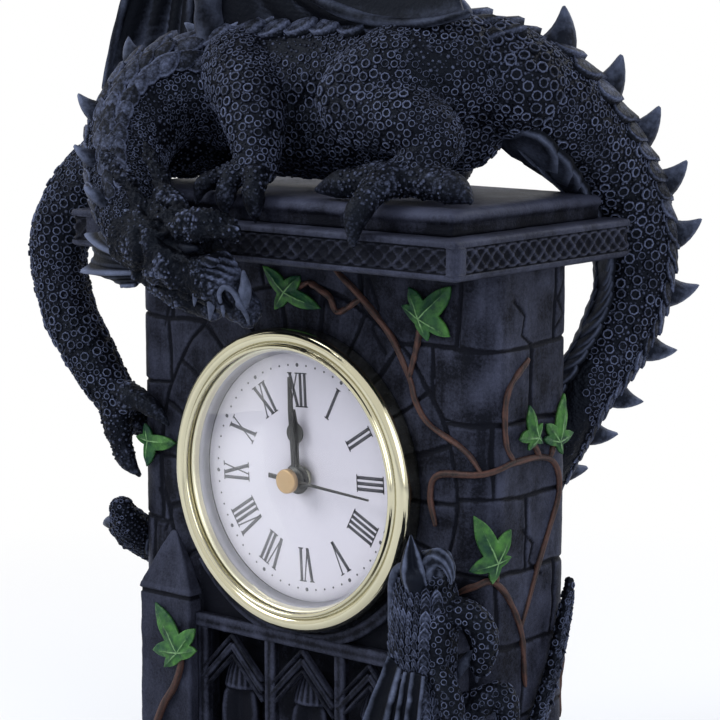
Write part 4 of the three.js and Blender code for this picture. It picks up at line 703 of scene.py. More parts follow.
TAIL = table([[40, 6, 203, 13.5], [48, 17, 195.5, 12.6], [51.4, 33, 182.6, 11], [52.8, 45.4, 166.5, 9.8],
              [53.6, 46, 150.5, 8.8], [53, 38.5, 137, 8], [49.4, 30, 125, 7.2], [43, 27, 111.5, 7],
              [31, 25.5, 93, 6.8], [12, 24.5, 77, 6.6], [-14, 24, 71, 6.2], [-40, 23.6, 70, 5.8],
              [-56, 21, 72, 5.4], [-62.4, 9, 74, 5.4], [-62, -5, 78, 5.6], [-61, -15, 84, 5],
              [-59, -20, 90, 3.2]])
# The side of the tail that its crest grows from, at each of its stations.
TAIL_CREST = np.array([[0.1, 0.3, 0.95], [0.3, 0.42, 0.86], [0.57, 0.59, 0.57], [0.74, 0.65, 0.18],
                       [0.77, 0.58, -0.25], [0.65, 0.41, -0.63], [0.5, 0.4, -0.77], [0.3, 0.8, -0.5],
                       [0, 0.95, -0.3], [0, 1, -0.2], [0, 1, 0], [0, 1, 0], [-0.6, 0.8, 0], [-1, 0, 0],
                       [-1, 0, 0], [-1, 0, 0], [-1, 0, 0]])

MUZZLE = table([[-6, -47.5, 160, 8], [-1, -47, 156.5, 6.8], [4, -45.8, 152.2, 5.2], [7, -45, 149, 3.8],
                [8, -44.8, 147.3, 2.4]])
BROWS = tables(
    [[-20, -48.5, 169, 3.4], [-12, -50.8, 168.4, 4], [-5, -51.8, 168.8, 4.2], [1, -51.4, 169.3, 4.4],
     [6.2, -49.8, 168, 3.6]],
    [[-24, -47.5, 162, 5], [-15, -50.8, 159.5, 4.6], [-7, -51.6, 157.6, 4], [-1, -50.4, 155.6, 3]],
    [[-13, -52, 162.2, 1.6], [-7, -53.4, 161.2, 1.7], [-1, -53.2, 160.9, 1.6], [4, -51.4, 161.4, 1.3]],
    [[-22, -48, 156.8, 3], [-13, -50, 154.6, 2.6], [-5, -50.6, 153.2, 2.2], [1.5, -50, 151.8, 1.8]])
HORNS = tables(
    [[-2, -49.5, 168.6, 2.4], [-8, -49, 171, 2.5], [-15, -47.5, 176, 2.4], [-20.6, -45.6, 181.4, 2.2],
     [-24.2, -44.2, 185, 1.7], [-25.6, -43.6, 186.6, 0.9]],
    [[-9, -50, 167, 2.6], [-15.6, -49.2, 167.9, 2.7], [-23, -48.6, 173, 2.5], [-28.4, -47.3, 177, 2.4],
     [-34.2, -46.3, 181, 2.1], [-38.6, -45, 183.7, 1.2]],
    [[-14, -48.5, 170, 1.8], [-18, -47.5, 174.2, 1.7], [-19.6, -47, 176.6, 0.8]])
NOSTRIL = table([[4.6, -50.4, 151.8, 0.45], [4.6, -50.8, 153.8, 0.6], [6.2, -50.7, 155.3, 0.65],
                 [8.2, -50, 154.2, 0.62], [9.4, -49, 151.4, 0.6], [10.2, -47.8, 148.8, 0.5],
                 [9.8, -46.6, 147, 0.3]])
NOSE_HORN = table([[8.6, -47.4, 151.5, 1.7], [9.7, -47.6, 155, 1.5], [8.8, -47.2, 158.6, 0.5]])
FANGS = tables(
    [[1.6, -50.2, 152.3, 1.2], [1.8, -50.6, 149.8, 0.8], [1.2, -50.4, 147.4, 0.2]],
    [[-2.6, -51, 153, 0.8], [-2.7, -51.2, 151.4, 0.5], [-3, -51.1, 150.2, 0.15]],
    [[4.6, -49.6, 150.6, 0.7], [4.8, -49.7, 149.2, 0.45], [4.8, -49.5, 148.2, 0.15]])
EYE = table([[-5.6, -52.2, 164, 0.9], [-3.4, -52.6, 163.7, 1.15], [-1, -52.5, 163.8, 0.8]])
# Creases of the head as places [across, up] on a plane square to its side, with each one's width and depth.
HEAD_SIDE = np.array([0.64, -0.768, 0])
CREASES = [(table(line), width * MM, depth * MM) for line, width, depth in (
    ([[-42.8, 165.6], [-39.4, 164.2], [-36.2, 163.2], [-32.6, 163.6], [-28.3, 164.9]], 1.0, 2.2),
    ([[-46.6, 154.9], [-40.4, 153.2], [-35.3, 151.9], [-31.9, 151.2], [-30.5, 149.3]], 0.5, 1.2),
    ([[-48.5, 166.8], [-47.8, 161.7], [-48.7, 156]], 0.8, 1.5),
    ([[-47, 171.5], [-43.5, 168.6], [-41, 166.9]], 0.8, 1.4),
    ([[-28.6, 153.7], [-27.9, 151.9], [-26.5, 150.6]], 0.7, 1.6))]
FRILL_ROOT = table([[-22, -48.5, 169.5], [-23, -49, 161], [-24, -48, 153]])
FRILL_TIPS = table([[-31, -44.5, 174], [-38.3, -42.6, 171], [-40, -42.2, 167], [-46.8, -41.5, 163.2],
                    [-48.8, -41.2, 154], [-31, -43.6, 152.2]])

# Each limb's scale radius in millimetres at its root and at its end, then a claw's and the tail's.
HIDE_LIMBS = [(SPINE, 1.5, 1.5), (BELLY, 1.1, 1.1), (NECK, 1.3, 1.0), (RIGHT_ARM, 1.5, 1.2),
              (LEFT_ARM, 1.55, 1.1), (LEFT_LEG, 1.6, 1.0), (RIGHT_LEG, 1.6, 1.1)]
CLAW_SCALES = [0.9, 0.5]
TAIL_SCALES = [1.65, 0.7]
CREST_STEP = 0.5 * MM


def ring_scale():
    """One scale of unit radius: a ring swept round its middle whose height is 0 at the rim, highest on a
    narrow crest near it, and low again over the pit in the middle."""
    rings = circles([[1.0, -0.3], [0.92, 0.24], [0.74, 0.36], [0.5, -0.04]], 7)
    return capped(rings, [0, 0, -0.12], [0, 0.8, 1.05, 0, 0])


def bead():
    """A low dome of unit radius in two rings and a top."""
    return capped(circles([[1.0, -0.2], [0.72, 0.4]], 5), [0, 0, 0.66], [0.1, 0.65, 0.9])


def chevron_plate():
    """A pointed plate of about unit size: an outline drawn out to a point in front and notched behind, set
    low, then as the plate's edge, then drawn in to a ridge that rises to the point."""
    reach = np.array([1.3, 0.92, 0.8, 0.78, 0.74, 0.55, 0.74, 0.78, 0.8, 0.92])
    angle = round_angles(len(reach))
    x, y = reach * np.cos(angle), reach * np.sin(angle)
    edge = 0.22 + 0.2 * x
    rings = np.stack([xyz(x, y, -0.3), xyz(x, y, edge),
                      xyz(x * 0.72 + 0.05, y * 0.72, edge + 0.1 - 0.12 * np.abs(y))])
    return capped(rings, [0.1, 0, 0.42], [0.0, 1.0, 0.55, 0.85])


def hooked_spike():
    """A thorn of unit height: rings round a middle line that bulges back and then leans forward as a power of
    the height, their length falling as a power of the height left, so that one edge is hollow and the tip
    blunt."""
    height = np.array([0, 0.12, 0.28, 0.45, 0.62, 0.78, 0.9, 0.97, 1.0])[:, None]
    angle = round_angles(10)
    reach = 0.6 * (1 - height) ** 0.8 + 0.085 * np.sqrt(1 - height**6)
    middle = 0.3 * height - 0.7 * height**2.2
    rings = xyz(middle + reach * np.cos(angle), (0.3 * (1 - height) ** 0.7 + 0.06) * np.sin(angle),
                height - 0.12)
    return lofted(rings, 0.2 + 0.75 * height**1.5 + 0.3 * np.abs(np.cos(angle)) ** 3)


def limb_path(stations, crest):
    """A limb's places a crest step apart, and the directions along it, out to its crest and to its side."""
    crest = np.broadcast_to(np.asarray(crest, float), (len(stations), 3))
    path = smooth_path(np.hstack([stations, crest]), CREST_STEP)
    return path, *directions(path[:, :3], path[:, 4:])


def rows_along(pattern, stations, crest, spacing, angles, size, reach=0.97, span=(0.04, 0.97), seed=1):
    """Copies of a pattern in rows along a limb. A row stands at an angle round the limb from its crest, and
    every other row is half a spacing on. Size gives length, width and height for a limb radius of one."""
    path, along, out, side = limb_path(stations, crest)
    length = CREST_STEP * (len(path) - 1)
    random = np.random.default_rng(seed)
    found = []
    for number, degrees in enumerate(angles):
        angle = math.radians(degrees)
        places, travelled = [], span[0] * length + (number % 2) * spacing * 0.5 * path[0, 3]
        while travelled < span[1] * length:
            places.append(min(int(travelled / CREST_STEP), len(path) - 1))
            travelled += spacing * path[places[-1], 3]
        at = np.array(places)
        normal = math.cos(angle) * out[at] + math.sin(angle) * side[at]
        scale = path[at, 3:4] * np.array([size]) * random.uniform(0.88, 1.1, (len(at), 1))
        found.append(copies(pattern, path[at, :3] + normal * path[at, 3:4] * reach, normal, along[at], scale,
                            random.uniform(0, 1, len(at))))
    return joined(*found)


def thorns(pattern, stations, crest, places, height):
    """Copies of a thorn at given distances in millimetres along a limb, each as high as given where the limb
    is at its thickest and lower as it thins."""
    path, along, out, _ = limb_path(stations, crest)
    at = np.minimum((np.array(places) * MM / CREST_STEP).astype(int), len(path) - 1)
    scale = height * (0.35 + 0.65 * path[at, 3] / path[:, 3].max())
    return copies(pattern, path[at, :3] + out[at] * path[at, 3:4] * 0.93, out[at], along[at],
                  scale[:, None] * [1.08, 1.5, 1.45], np.linspace(0, 1, len(at)))


def nearest_on_limbs(points, limbs):
    """For each point the limb it lies nearest to, and how far along that limb from 0 to 1. Nearness is the
    distance to the limb's middle line less its radius."""
    best = np.full(len(points), 9.0)
    limb_of, share = np.zeros(len(points), int), np.zeros(len(points))
    for number, stations in enumerate(limbs):
        path = smooth_path(stations, 2.5 * MM)
        gap = np.linalg.norm(points[:, None] - path[None, :, :3], axis=2) - path[None, :, 3]
        nearest, gap = gap.argmin(1), gap.min(1)
        closer = gap < best
        best[closer] = gap[closer]
        limb_of[closer] = number
        share[closer] = nearest[closer] / (len(path) - 1)
    return limb_of, share


def knuckled(t, angle):
    """A claw's radius: swollen at two knuckles and creased beside them."""
    return 1 + 0.1 * bell(t - 0.36, 0.07) + 0.08 * bell(t - 0.66, 0.06) + 0 * angle


def hide_skin(limbs, claws, voxel):
    """Limbs fused into one skin, lumpy all over with pebbles that fade towards the claws' tips. Gives the
    skin, the direction outwards at each point, its limb, its share of the way along it, and whether that limb
    is a claw."""
    tubes = [tube(limb * [1, 1, 1, 0.95], 1.5 * MM, 20) for limb in limbs]
    tubes += [tube(claw, 0.8 * MM, 12, shape=knuckled) for claw in claws]
    points, faces, normals = fused(tubes, voxel, 7)
    limb_of, share = nearest_on_limbs(points, limbs + claws)
    bare = limb_of >= len(limbs)
    rough = np.where(bare, 1.0 - 0.75 * ramp(share, 0.25, 0.8), 1.0)
    fold = layered(points, 5 * MM, 3, 4)
    pebble = pebbled(points, 1.75 * MM, 5) * 0.65 + pebbled(points, 1.0 * MM, 6) * 0.35
    points = points + normals * (rough * (0.3 * fold + 0.42 * (pebble - 0.5)) * MM)[:, None]
    polish = np.where(bare, 0.25 + 0.3 * ramp(share, 0.3, 0.9), 0.0)
    wear_and_shade = polish + rough * (0.72 * pebble**1.5 + 0.25 * fold)
    return Surface(points, [faces], wear_and_shade), normals, limb_of, share, bare


def lumpy(t, angle):
    """A horn's radius: bumps where two sines along it and round it meet."""
    return 1 + 0.14 * np.sin(31 * t + 1.5 * np.sin(2 * angle)) + 0.12 * np.sin(3 * angle + 17 * t)


def head_skin():
    """Skull, snout, brows and horns fused, then raised in lumps of two sizes, cut by creases whose depth
    falls off as an exponential of the squared distance to a line, and wrinkled over the nose by narrow ridges
    side by side."""
    tubes = [tube(limb * [1, 1, 1, 0.94], 0.8 * MM, 24) for limb in (SKULL, MUZZLE, JAW)]
    tubes += [tube(limb * [1, 1, 1, 0.9], 0.6 * MM, 18, shape=lumpy) for limb in (*BROWS, *HORNS)]
    points, faces, normals = fused(tubes, 0.34 * MM, 7)
    flat = np.stack([points[:, 0] * 0.768 + points[:, 1] * 0.64, points[:, 2]], -1)
    near_side = ramp(normals @ HEAD_SIDE, -0.2, 0.3)
    cut = sum(depth * bell(near_lines(flat, [line]), width) for line, width, depth in CREASES) * near_side
    snout = ramp(flat[:, 0] * 0.75 - flat[:, 1] * 0.66, -0.129, -0.121)
    wrinkled = bell(np.hypot(flat[:, 0] + 29 * MM, flat[:, 1] - 160.4 * MM), 4.6 * MM, 4) * near_side
    across = (flat[:, 1] + 0.35 * flat[:, 0] + 0.3 * MM * drift(points, 3 * MM, 66)) / (1.55 * MM)
    ridge = np.abs(np.sin(math.pi * across)) ** 0.7
    rough = 1 - 0.75 * np.maximum(snout, wrinkled)
    pebble = pebbled(points, 1.7 * MM, 61) * 0.5 + pebbled(points, 0.9 * MM, 62) * 0.5
    fold = layered(points, 5 * MM, 63, 4)
    lift = rough * (0.8 * fold + 0.85 * (pebble - 0.5)) * MM + wrinkled * 0.5 * MM * ridge - cut
    wear_and_shade = 0.12 + rough * (pebble**1.7 + 0.4 * fold) + 0.7 * wrinkled * ridge**2 + 0.45 * snout - 900 * cut
    return Surface(points + normals * lift[:, None], [faces], wear_and_shade)


# The tower. s is the distance round it from the middle of its front, to the right as seen from the front.

TOWER_PLAN = TOWER_HALF, TOWER_FRONT, TOWER_BACK, TOWER_CORNER = 55.6 * MM, -16.5 * MM, 16.5 * MM, 6.5 * MM
TOWER_FOOT, TOWER_TOP = 17.8 * MM, 158.5 * MM
COURSE = 17.5 * MM
BORE_RADIUS = 33.6 * MM
WEDGE_RADIUS, WEDGE_ANGLE = 47 * MM, TURN / 22
BAY_HALF, BAY_RAIL = 34.4 * MM, 65.3 * MM
FLAT = TOWER_HALF - TOWER_CORNER
BEND = TOWER_CORNER * math.pi / 2
SIDE = TOWER_BACK - TOWER_FRONT - 2 * TOWER_CORNER
ROUND_TOWER = 2 * (FLAT + SIDE + FLAT) + 4 * BEND


def on_outline(s, half, front, back, corner):
    """The place in plan at a distance s round a rounded rectangle from the middle of its front, and the
    direction outwards there. Each side is a straight run and each corner a quarter circle."""
    flat, bend, side = half - corner, corner * math.pi / 2, back - front - 2 * corner
    runs = np.cumsum([flat, bend, side, bend, 2 * flat, bend, side, bend, flat])
    s = np.mod(s, runs[-1])
    run = np.searchsorted(runs, s, side="right").clip(0, 8)
    into = s - np.append(0, runs)[run]
    turn = np.array([0, 0, 1, 1, 2, 2, 3, 3, 4])[run] * math.pi / 2
    angle = turn + np.where(run % 2 == 1, into / corner, 0)
    starts = np.array([[0, front], [flat, front + corner], [half, front + corner], [flat, back - corner],
                       [flat, back], [-flat, back - corner], [-half, back - corner], [-flat, front + corner],
                       [-flat, front]])[run]
    out = np.stack([np.sin(angle), -np.cos(angle)], -1)
    along = np.stack([np.cos(angle), np.sin(angle)], -1)
    straight = starts + along * into[..., None]
    return np.where((run % 2 == 1)[..., None], starts + corner * out, straight), out


def on_tower(s, z, lift):
    """The place at s and z on the tower's skin, lifted off it."""
    plan, out = on_outline(s, *TOWER_PLAN)
    return np.concatenate([plan + out * np.asarray(lift)[..., None], np.asarray(z)[..., None]], -1)


def near_lines(p, lines):
    """Distance in the plane from each point to the nearest of these broken lines."""
    gaps = []
    for line in lines:
        for a, b in zip(line, line[1:]):
            t = np.clip(((p - a) @ (b - a)) / ((b - a) @ (b - a)), 0, 1)
            gaps.append(np.linalg.norm(p - a - t[..., None] * (b - a), axis=-1))
    return np.min(gaps, axis=0)


CRACKS = tables(
    [[62, 152], [66, 148], [64.5, 144], [69, 141]], [[83, 157], [79, 151], [82, 147], [78, 143]],
    [[21, 156], [24, 149], [22, 144], [26, 138]], [[66, 98], [70, 94], [68.5, 90], [73, 86]],
    [[-22, 155], [-26, 149], [-24, 143]], [[80, 66], [76, 61], [78, 55]], [[62, 45], [66, 41], [64, 36]],
    [[-47, 150], [-43, 144], [-45, 139]], [[-48, 96], [-44, 91], [-46, 86]])


def stonework(s, z):
    """Height of the stone over the tower's core, its wear and its tone. The height is a block's own level,
    less a groove at each joint whose depth falls off as the square of an exponential of the distance to it.
    Joints wander by a slow noise. Round the dial the joints are radial, as wedge stones have them. Between
    the window rail and the dial the stone is flat and its wear is set low: painted shade for a deep recess."""
    p = np.stack([s, z], -1)
    wander = np.stack([layered(p, 13 * MM, 1, 2), layered(p, 11 * MM, 2, 2)], -1) * 0.8 * MM
    ws, wz = s + wander[..., 0], z + wander[..., 1]
    level = (TOWER_TOP - wz) / COURSE
    row = np.floor(level)
    bed = np.where(level < 0.5, 9, np.abs(level - np.round(level)) * COURSE)
    length = (21 + 9 * hashed(row[..., None], 5)) * MM
    along = ws / length + hashed(row[..., None], 6)
    upright = np.abs(along - np.round(along)) * length
    front = np.abs(s) < FLAT + 0.5 * BEND
    dx, dz = ws, wz - DIAL_AXIS[2]
    radius = np.hypot(dx, dz)
    wedge = np.arctan2(dz, dx) / WEDGE_ANGLE
    ring = front & (radius < WEDGE_RADIUS)
    rim = np.abs(radius - WEDGE_RADIUS)
    radial = np.abs(wedge - np.round(wedge)) * WEDGE_ANGLE * radius
    joint = np.where(ring, np.minimum(radial, rim), np.minimum(bed, upright))
    joint = np.where(front & ~ring, np.minimum(joint, rim), joint)
    block = np.stack([row, np.floor(along)], -1)
    tone = np.where(ring, hashed(np.round(wedge)[..., None], 7), hashed(block, 8))
    groove = bell(joint, sizes().joint_width * (1 + 0.35 * drift(p, 6 * MM, 4)))
    groove = np.maximum(groove, 0.8 * bell(near_lines(p + wander * 0.7, CRACKS), 0.3 * MM))
    chip = np.clip(drift(p, 3.4 * MM, 11) + 0.9 * bell(joint, 1.2 * MM) - 1.1, 0, 1)
    rough = layered(p, 5 * MM, 20, 4)
    scuff = np.clip(drift(p / [1, 3.5], 2.2 * MM, 23) - 0.1, 0, 1)
    scuff = scuff * bell(np.abs(s) - FLAT - 0.5 * BEND, 5 * MM)
    height = 0.72 + 0.12 * (tone - 0.5) + 0.09 * rough - 0.66 * groove - 0.4 * chip
    worn = 0.44 + 0.25 * rough + 0.14 * bell(joint - 0.95 * MM, 0.4 * MM) + 0.8 * scuff
    worn = worn + 0.14 * (~front) - 1.3 * groove - 0.2 * chip
    # Painted shade: within the bay's width, between the rail and the dial, the stone lies flat with its wear     at -0.5, standing for the shadow of a deep recess there.
    painted_recess_shade = front & (np.abs(s) < 34 * MM) & (z < 84 * MM) & (radius > 41.6 * MM)
    return np.where(painted_recess_shade, 0.12, height) * MM, np.where(painted_recess_shade, -0.5, worn), tone


def sunk_near_openings(s, z, height):
    """Draws the stone down under the tower's core in the dial's bore, the window bay and the rear opening."""
    front = np.abs(s) < FLAT + BEND
    radius = np.hypot(s, z - DIAL_AXIS[2])
    bore = ramp(radius, BORE_RADIUS + 0.1 * MM, BORE_RADIUS + 2.4 * MM)
    rim = ramp(radius, BORE_RADIUS + 2.6 * MM, BORE_RADIUS + 5 * MM)
    low = np.minimum(height, 0.3 * MM + 0.45 * MM * rim)
    height = np.where(front & (radius < BORE_RADIUS + 5 * MM), low, height)
    bay = np.maximum(np.abs(s) - BAY_HALF, z - (BAY_RAIL - 2 * MM))
    keep = np.where(front, bore * ramp(bay, 0, 0.8 * MM), 1)
    rear = np.abs(np.mod(s, ROUND_TOWER) - ROUND_TOWER / 2)
    keep = keep * np.where(rear < 2 * FLAT, ramp(np.hypot(rear, z - DIAL_AXIS[2]), 24 * MM, 26 * MM), 1)
    return height * keep - 0.25 * MM * (1 - keep), keep


def stone_skin(s_from, s_to, pitch):
    """The tower's skin over a grid of s and z, without the faces that lie wholly under the core."""
    s = np.linspace(s_from, s_to, int((s_to - s_from) / pitch) + 1)
    z = np.linspace(TOWER_FOOT, TOWER_TOP, int((TOWER_TOP - TOWER_FOOT) / pitch) + 1)
    grid_z, grid_s = np.meshgrid(z, s, indexing="ij")
    height, wear_and_shade, tone = stonework(grid_s, grid_z)
    height, keep = sunk_near_openings(grid_s, grid_z, height)
    faces = quads(len(z), len(s), wrap=False)
    faces = faces[(keep.ravel()[faces] > 0).any(1)]
    used = np.unique(faces)
    points = on_tower(grid_s, grid_z, height).reshape(-1, 3)
    return Surface(points[used], [np.searchsorted(used, faces)], wear_and_shade.ravel()[used], tone.ravel()[used])


# Operators, one for each piece or group of like pieces

class CLOCK_OT_stage(bpy.types.Operator):
    """Floor, lamps, world and camera"""
    bl_idname = "clock.stage"
    bl_label = "Stage"

    def execute(self, context):
        floor = self.floor()
        self.lamp("key_lamp", (-0.55, -0.75, 0.85), 0.7, 9.5)
        self.lamp("fill_lamp", (0.85, -0.55, 0.45), 0.8, 4.0)
        self.lamp("rim_lamp", (0.3, 0.8, 0.8), 0.6, 5.0)
        self.world()
        view = bpy.data.cameras.new("photo_view")
        view.lens = 127
        view.clip_start = 0.01
        camera = self.aimed("photo_view", view, (0.39727, -0.47266, 0.22734), (0.0183, -0.0170, 0.1357))
        context.scene.camera = camera
        context.scene.view_settings.view_transform = "Standard"
        return {"FINISHED"}

    def aimed(self, name, data, place, target):
        """Puts a lamp or a camera into the scene at a place, looking at a target."""
        made = bpy.data.objects.new(name, data)
        made.location = place
        made.rotation_euler = (Vector(target) - Vector(place)).to_track_quat("-Z", "Y").to_euler()
        bpy.context.scene.collection.objects.link(made)
        return made

    def floor(self):
        """A disc whose colour goes from pale near the clock to the white of the background at its rim."""
        floor = meshed("floor", capped(circles([[3.0, 0], [1.0, 0], [0.3, 0]], 96), [0, 0, 0], [0.5] * 4))
        floor.data.materials.append(self.floor_finish())
        return floor

    def floor_finish(self):
        f = Finish("floor")
        f.set(Base_Color=f.noise(3, 2).mix((0.8, 0.8, 0.8), (0.84, 0.84, 0.84)), Roughness=0.8)
        white = f.wire.node("Emission", Color=(1, 1, 1), Strength=1.0)
        distance = f.wire.node("VectorMath", {"operation": "LENGTH"}, out=1, n0=f.place)
        far = distance.between(0.16, 0.42) * f.wire.node("LightPath", out="Is Camera Ray")
        f.wire.node("MixShader", n0=far, n1=Wire(f.wire.tree, f.surface.outputs[0]), n2=white).show()
        return f.material

    def lamp(self, name, place, size, watts):
        light = bpy.data.lights.new(name, "AREA")
        light.shape, light.size, light.energy = "DISK", size, watts
        self.aimed(name, light, place, (0, 0, 0.13))

    def world(self):
        """Soft light all round, with plain white where the camera, metal and glass see past the floor."""
        world = bpy.data.worlds.new("studio")
        world.use_nodes = True
        bpy.context.scene.world = world
        wire = Wire(world.node_tree)
        camera, gloss, glass = (wire.node("LightPath", out=f"Is {kind} Ray")
                                for kind in ("Camera", "Glossy", "Transmission"))
        seen = wire.math("MAXIMUM", wire.math("MAXIMUM", camera, gloss), glass)
        soft = wire.node("Background", Color=(0.84, 0.89, 1.0), Strength=0.6)
        white = wire.node("Background", Color=(1, 1, 1), Strength=1.0)
        wire.node("MixShader", n0=seen, n1=soft, n2=white).show("OUTPUT_WORLD")


class CLOCK_OT_tower(bpy.types.Operator):
    """Stone skin with wandering joints, wedge stones round the dial, chips and cracks"""
    bl_idname = "clock.tower"
    bl_label = "Tower stone"

    def execute(self, context):
        edge = FLAT + BEND + SIDE + 0.5 * BEND
        fine = sizes().stone_step
        for name, start, end, step in (("front_left", -edge, 0, fine), ("front_right", 0, edge, fine),
                                       ("back", edge, ROUND_TOWER - edge, 0.9 * MM)):
            piece("stone_" + name, stone_skin(start, end, step), "stone_casting")
        return {"FINISHED"}


class CLOCK_OT_dragon_hide(bpy.types.Operator):
    """The dragon's fused skin with its ring scales and beads"""
    bl_idname = "clock.dragon_hide"
    bl_label = "Dragon hide"

    def execute(self, context):
        limbs = [limb for limb, _, _ in HIDE_LIMBS]
        skin, normals, limb_of, share, bare = hide_skin(limbs, CLAWS, sizes().hide_voxel)
        piece("dragon_hide", skin, "dragon_casting",
              ("dragon_torso", "dragon_neck", "dragon_right_arm", "dragon_left_arm", "dragon_left_leg",
               "dragon_right_leg"))
        radii = np.array([[root, end] for _, root, end in HIDE_LIMBS] + [CLAW_SCALES] * len(CLAWS))
        tips = bare & (share > 0.6)
        self.scales("dragon", skin.points, normals, self.scale_radius(radii, limb_of, share), bare, tips)
        skin, normals, limb_of, share, bare = hide_skin([TAIL], [], 0.76 * MM)
        piece("dragon_tail_hide", skin, "dragon_casting",
              ("dragon_tail_upper", "dragon_tail_middle", "dragon_tail_lower"))
        inner = read_off(share, np.linspace(0, 1, len(TAIL)), TAIL_CREST)
        under = (unit(inner) * normals).sum(1) < -0.62
        radius = self.scale_radius(np.array([TAIL_SCALES]), limb_of, share)
        self.scales("dragon_tail", skin.points, normals, radius, under, bare)
        self.crests()
        self.head()
        return {"FINISHED"}

    def scale_radius(self, radii, limb_of, share):
        """A scale's radius at each point: it goes straight from its limb's at the root to that at the end."""
        return (radii[limb_of, 0] + (radii[limb_of, 1] - radii[limb_of, 0]) * share) * MM

    def scales(self, name, points, normals, radius, no_rings, no_beads):
        """Ring scales where they fit, the large ones first, in patches that a slow noise picks, then beads in
        what is left between them."""
        random = np.random.default_rng(7)
        patch = drift(points, 15 * MM, 31) + 0.4 * drift(points, 6 * MM, 32)
        size = radius * random.uniform(0.72, 1.06, len(points)) * (0.62 + 0.42 * ramp(patch, -0.5, 0.4))
        seen = ~self.under_masonry(points)
        scaly = np.flatnonzero(~no_rings & seen & (patch > -0.75))
        order = np.argsort(-size[scaly] + random.uniform(0, 0.5 * MM, len(scaly)))
        kept = scaly[spread(points[scaly], size[scaly] * 0.9, order)]
        taken = KDTree(len(kept))
        for k, number in enumerate(kept):
            taken.insert(points[number], k)
        taken.balance()

        def is_free(number):
            _, nearest, away = taken.find(points[number])
            return away > size[kept[nearest]] * 0.95 + 0.22 * MM

        open_skin = np.flatnonzero(seen & ~no_beads)
        free = np.array([number for number in random.permutation(open_skin)[:30000] if is_free(number)])
        small = random.uniform(0.32, 0.72, len(free)) * MM
        chosen = spread(points[free], small * 0.95, range(len(free)))

        def strewn(pattern, at, radii):
            return copies(pattern, points[at], normals[at], random.normal(size=(len(at), 3)), radii,
                          random.uniform(0, 1, len(at)))

        for k, part in enumerate(np.array_split(kept, 2)):
            piece(f"{name}_ring_scales_{k + 1}", strewn(ring_scale(), part, size[part]), "dragon_casting")
        piece(name + "_beads", strewn(bead(), free[chosen], small[chosen]), "dragon_casting")

    def crests(self):
        """Thorns down the neck, the back and the tail, pointed plates beside them, nested chevrons along the
        side of the neck and smooth plates across the tail's inner side."""
        back, neck, plate, spike = SPINE[::-1], NECK[::-1], chevron_plate(), hooked_spike()
        up, nape, flank = (0, -0.1, 1), (-0.8, -0.3, 0.9), (0.35, -0.8, 0.6)
        plates = [rows_along(plate, TAIL, TAIL_CREST, 0.5, (-30, -12, 12, 30), (0.36, 0.3, 0.26), seed=3),
                  rows_along(plate, back, up, 0.5, (-30, -12, 12, 30), (0.36, 0.3, 0.3), seed=3),
                  rows_along(plate, neck, nape, 0.42, (-40, -20, 20, 40), (0.3, 0.22, 0.24), seed=3),
                  rows_along(plate, neck, flank, 0.36, (-14, 8), (0.34, 0.27, 0.24), span=(0.1, 0.92),
                             seed=6)]
        along_tail = [10.5, 25, 38.5, 51.5, 62, 73.5, *range(86, 243, 13), 254, 265, 275]
        spikes = [thorns(spike, TAIL, TAIL_CREST, along_tail, sizes().tail_thorn),
                  thorns(spike, NECK, nape, [3, 15, 29, 43, 55], sizes().body_thorn),
                  thorns(spike, back, up, [14, 32, 50, 68, 84], 0.9 * sizes().body_thorn)]
        belly = rows_along(plate, TAIL, -TAIL_CREST, 0.5, (-18, 18), (0.62, 0.8, 0.26), 0.95, (0.05, 0.95), 5)
        piece("dragon_crest_plates", joined(*plates), "dragon_casting")
        piece("dragon_crest_spikes", joined(*spikes), "dragon_casting", look="claw")
        piece("dragon_belly_plates", belly, "dragon_casting", look="wing")

    def head(self):
        """The head, its nostril rims, nose horn, fangs, eyes and the webbed frill."""
        piece("dragon_head_skin", head_skin(), "dragon_casting", ("dragon_head", "dragon_jaw"))
        horns = [tube(stations, 0.4 * MM, 10, wear_and_shade=0.8) for stations in (NOSE_HORN, NOSTRIL, *FANGS)]
        piece("dragon_horns", joined(*horns), "dragon_casting", look="claw")
        piece("dragon_eye", tube(EYE, 0.3 * MM, 14, wear_and_shade=0.0), "dragon_casting", look="claw")
        piece("dragon_frill_web", self.frill(), "dragon_casting", ("dragon_frill",), look="wing")

    def frill(self):
        """A web from a curved root to a curve through the rib tips: the point at u and v is the share u of
        the way across, drawn in between the ribs. Fine ridges run across it as a high power of a cosine."""
        u = np.linspace(0, 1, 40)[:, None, None]
        v = np.linspace(0, 1, 221)
        place = v * (len(FRILL_TIPS) - 1)
        k = np.minimum(place.astype(int), len(FRILL_TIPS) - 2)
        between = (place - k)[:, None]
        tips = FRILL_TIPS[k] * (1 - between) + FRILL_TIPS[k + 1] * between
        root = read_off(v, [0, 0.5, 1], FRILL_ROOT)
        web = 1 - 0.16 * np.sin(math.pi * between)
        ribs = np.abs(np.cos(math.pi * place)) ** 10
        fine = np.abs(np.cos(3 * math.pi * place)) ** 6
        grid = root + (tips - root) * u * (1 - (1 - web) * u)
        grid[..., 1] -= (1.0 * ribs + 0.45 * fine + 2.6 * np.sin(math.pi * u[..., 0])) * MM
        wear_and_shade = 0.1 + 0.6 * ribs[None] + 0.4 * fine + 0.35 * u[..., 0] ** 8
        return thick_sheet(grid, 0.9 * MM, wear_and_shade)

    def under_masonry(self, points):
        """Which points lie inside the tower or its slab, where no scale is seen."""
        x, y, z = np.abs(points[:, 0]), points[:, 1], points[:, 2]
        return (x < 54 * MM) & (y > -28 * MM) & (y < 28 * MM) & (z < 175 * MM)


# A wing's bones run from its wrist, each bent towards a middle point, to the tips and then to the root.

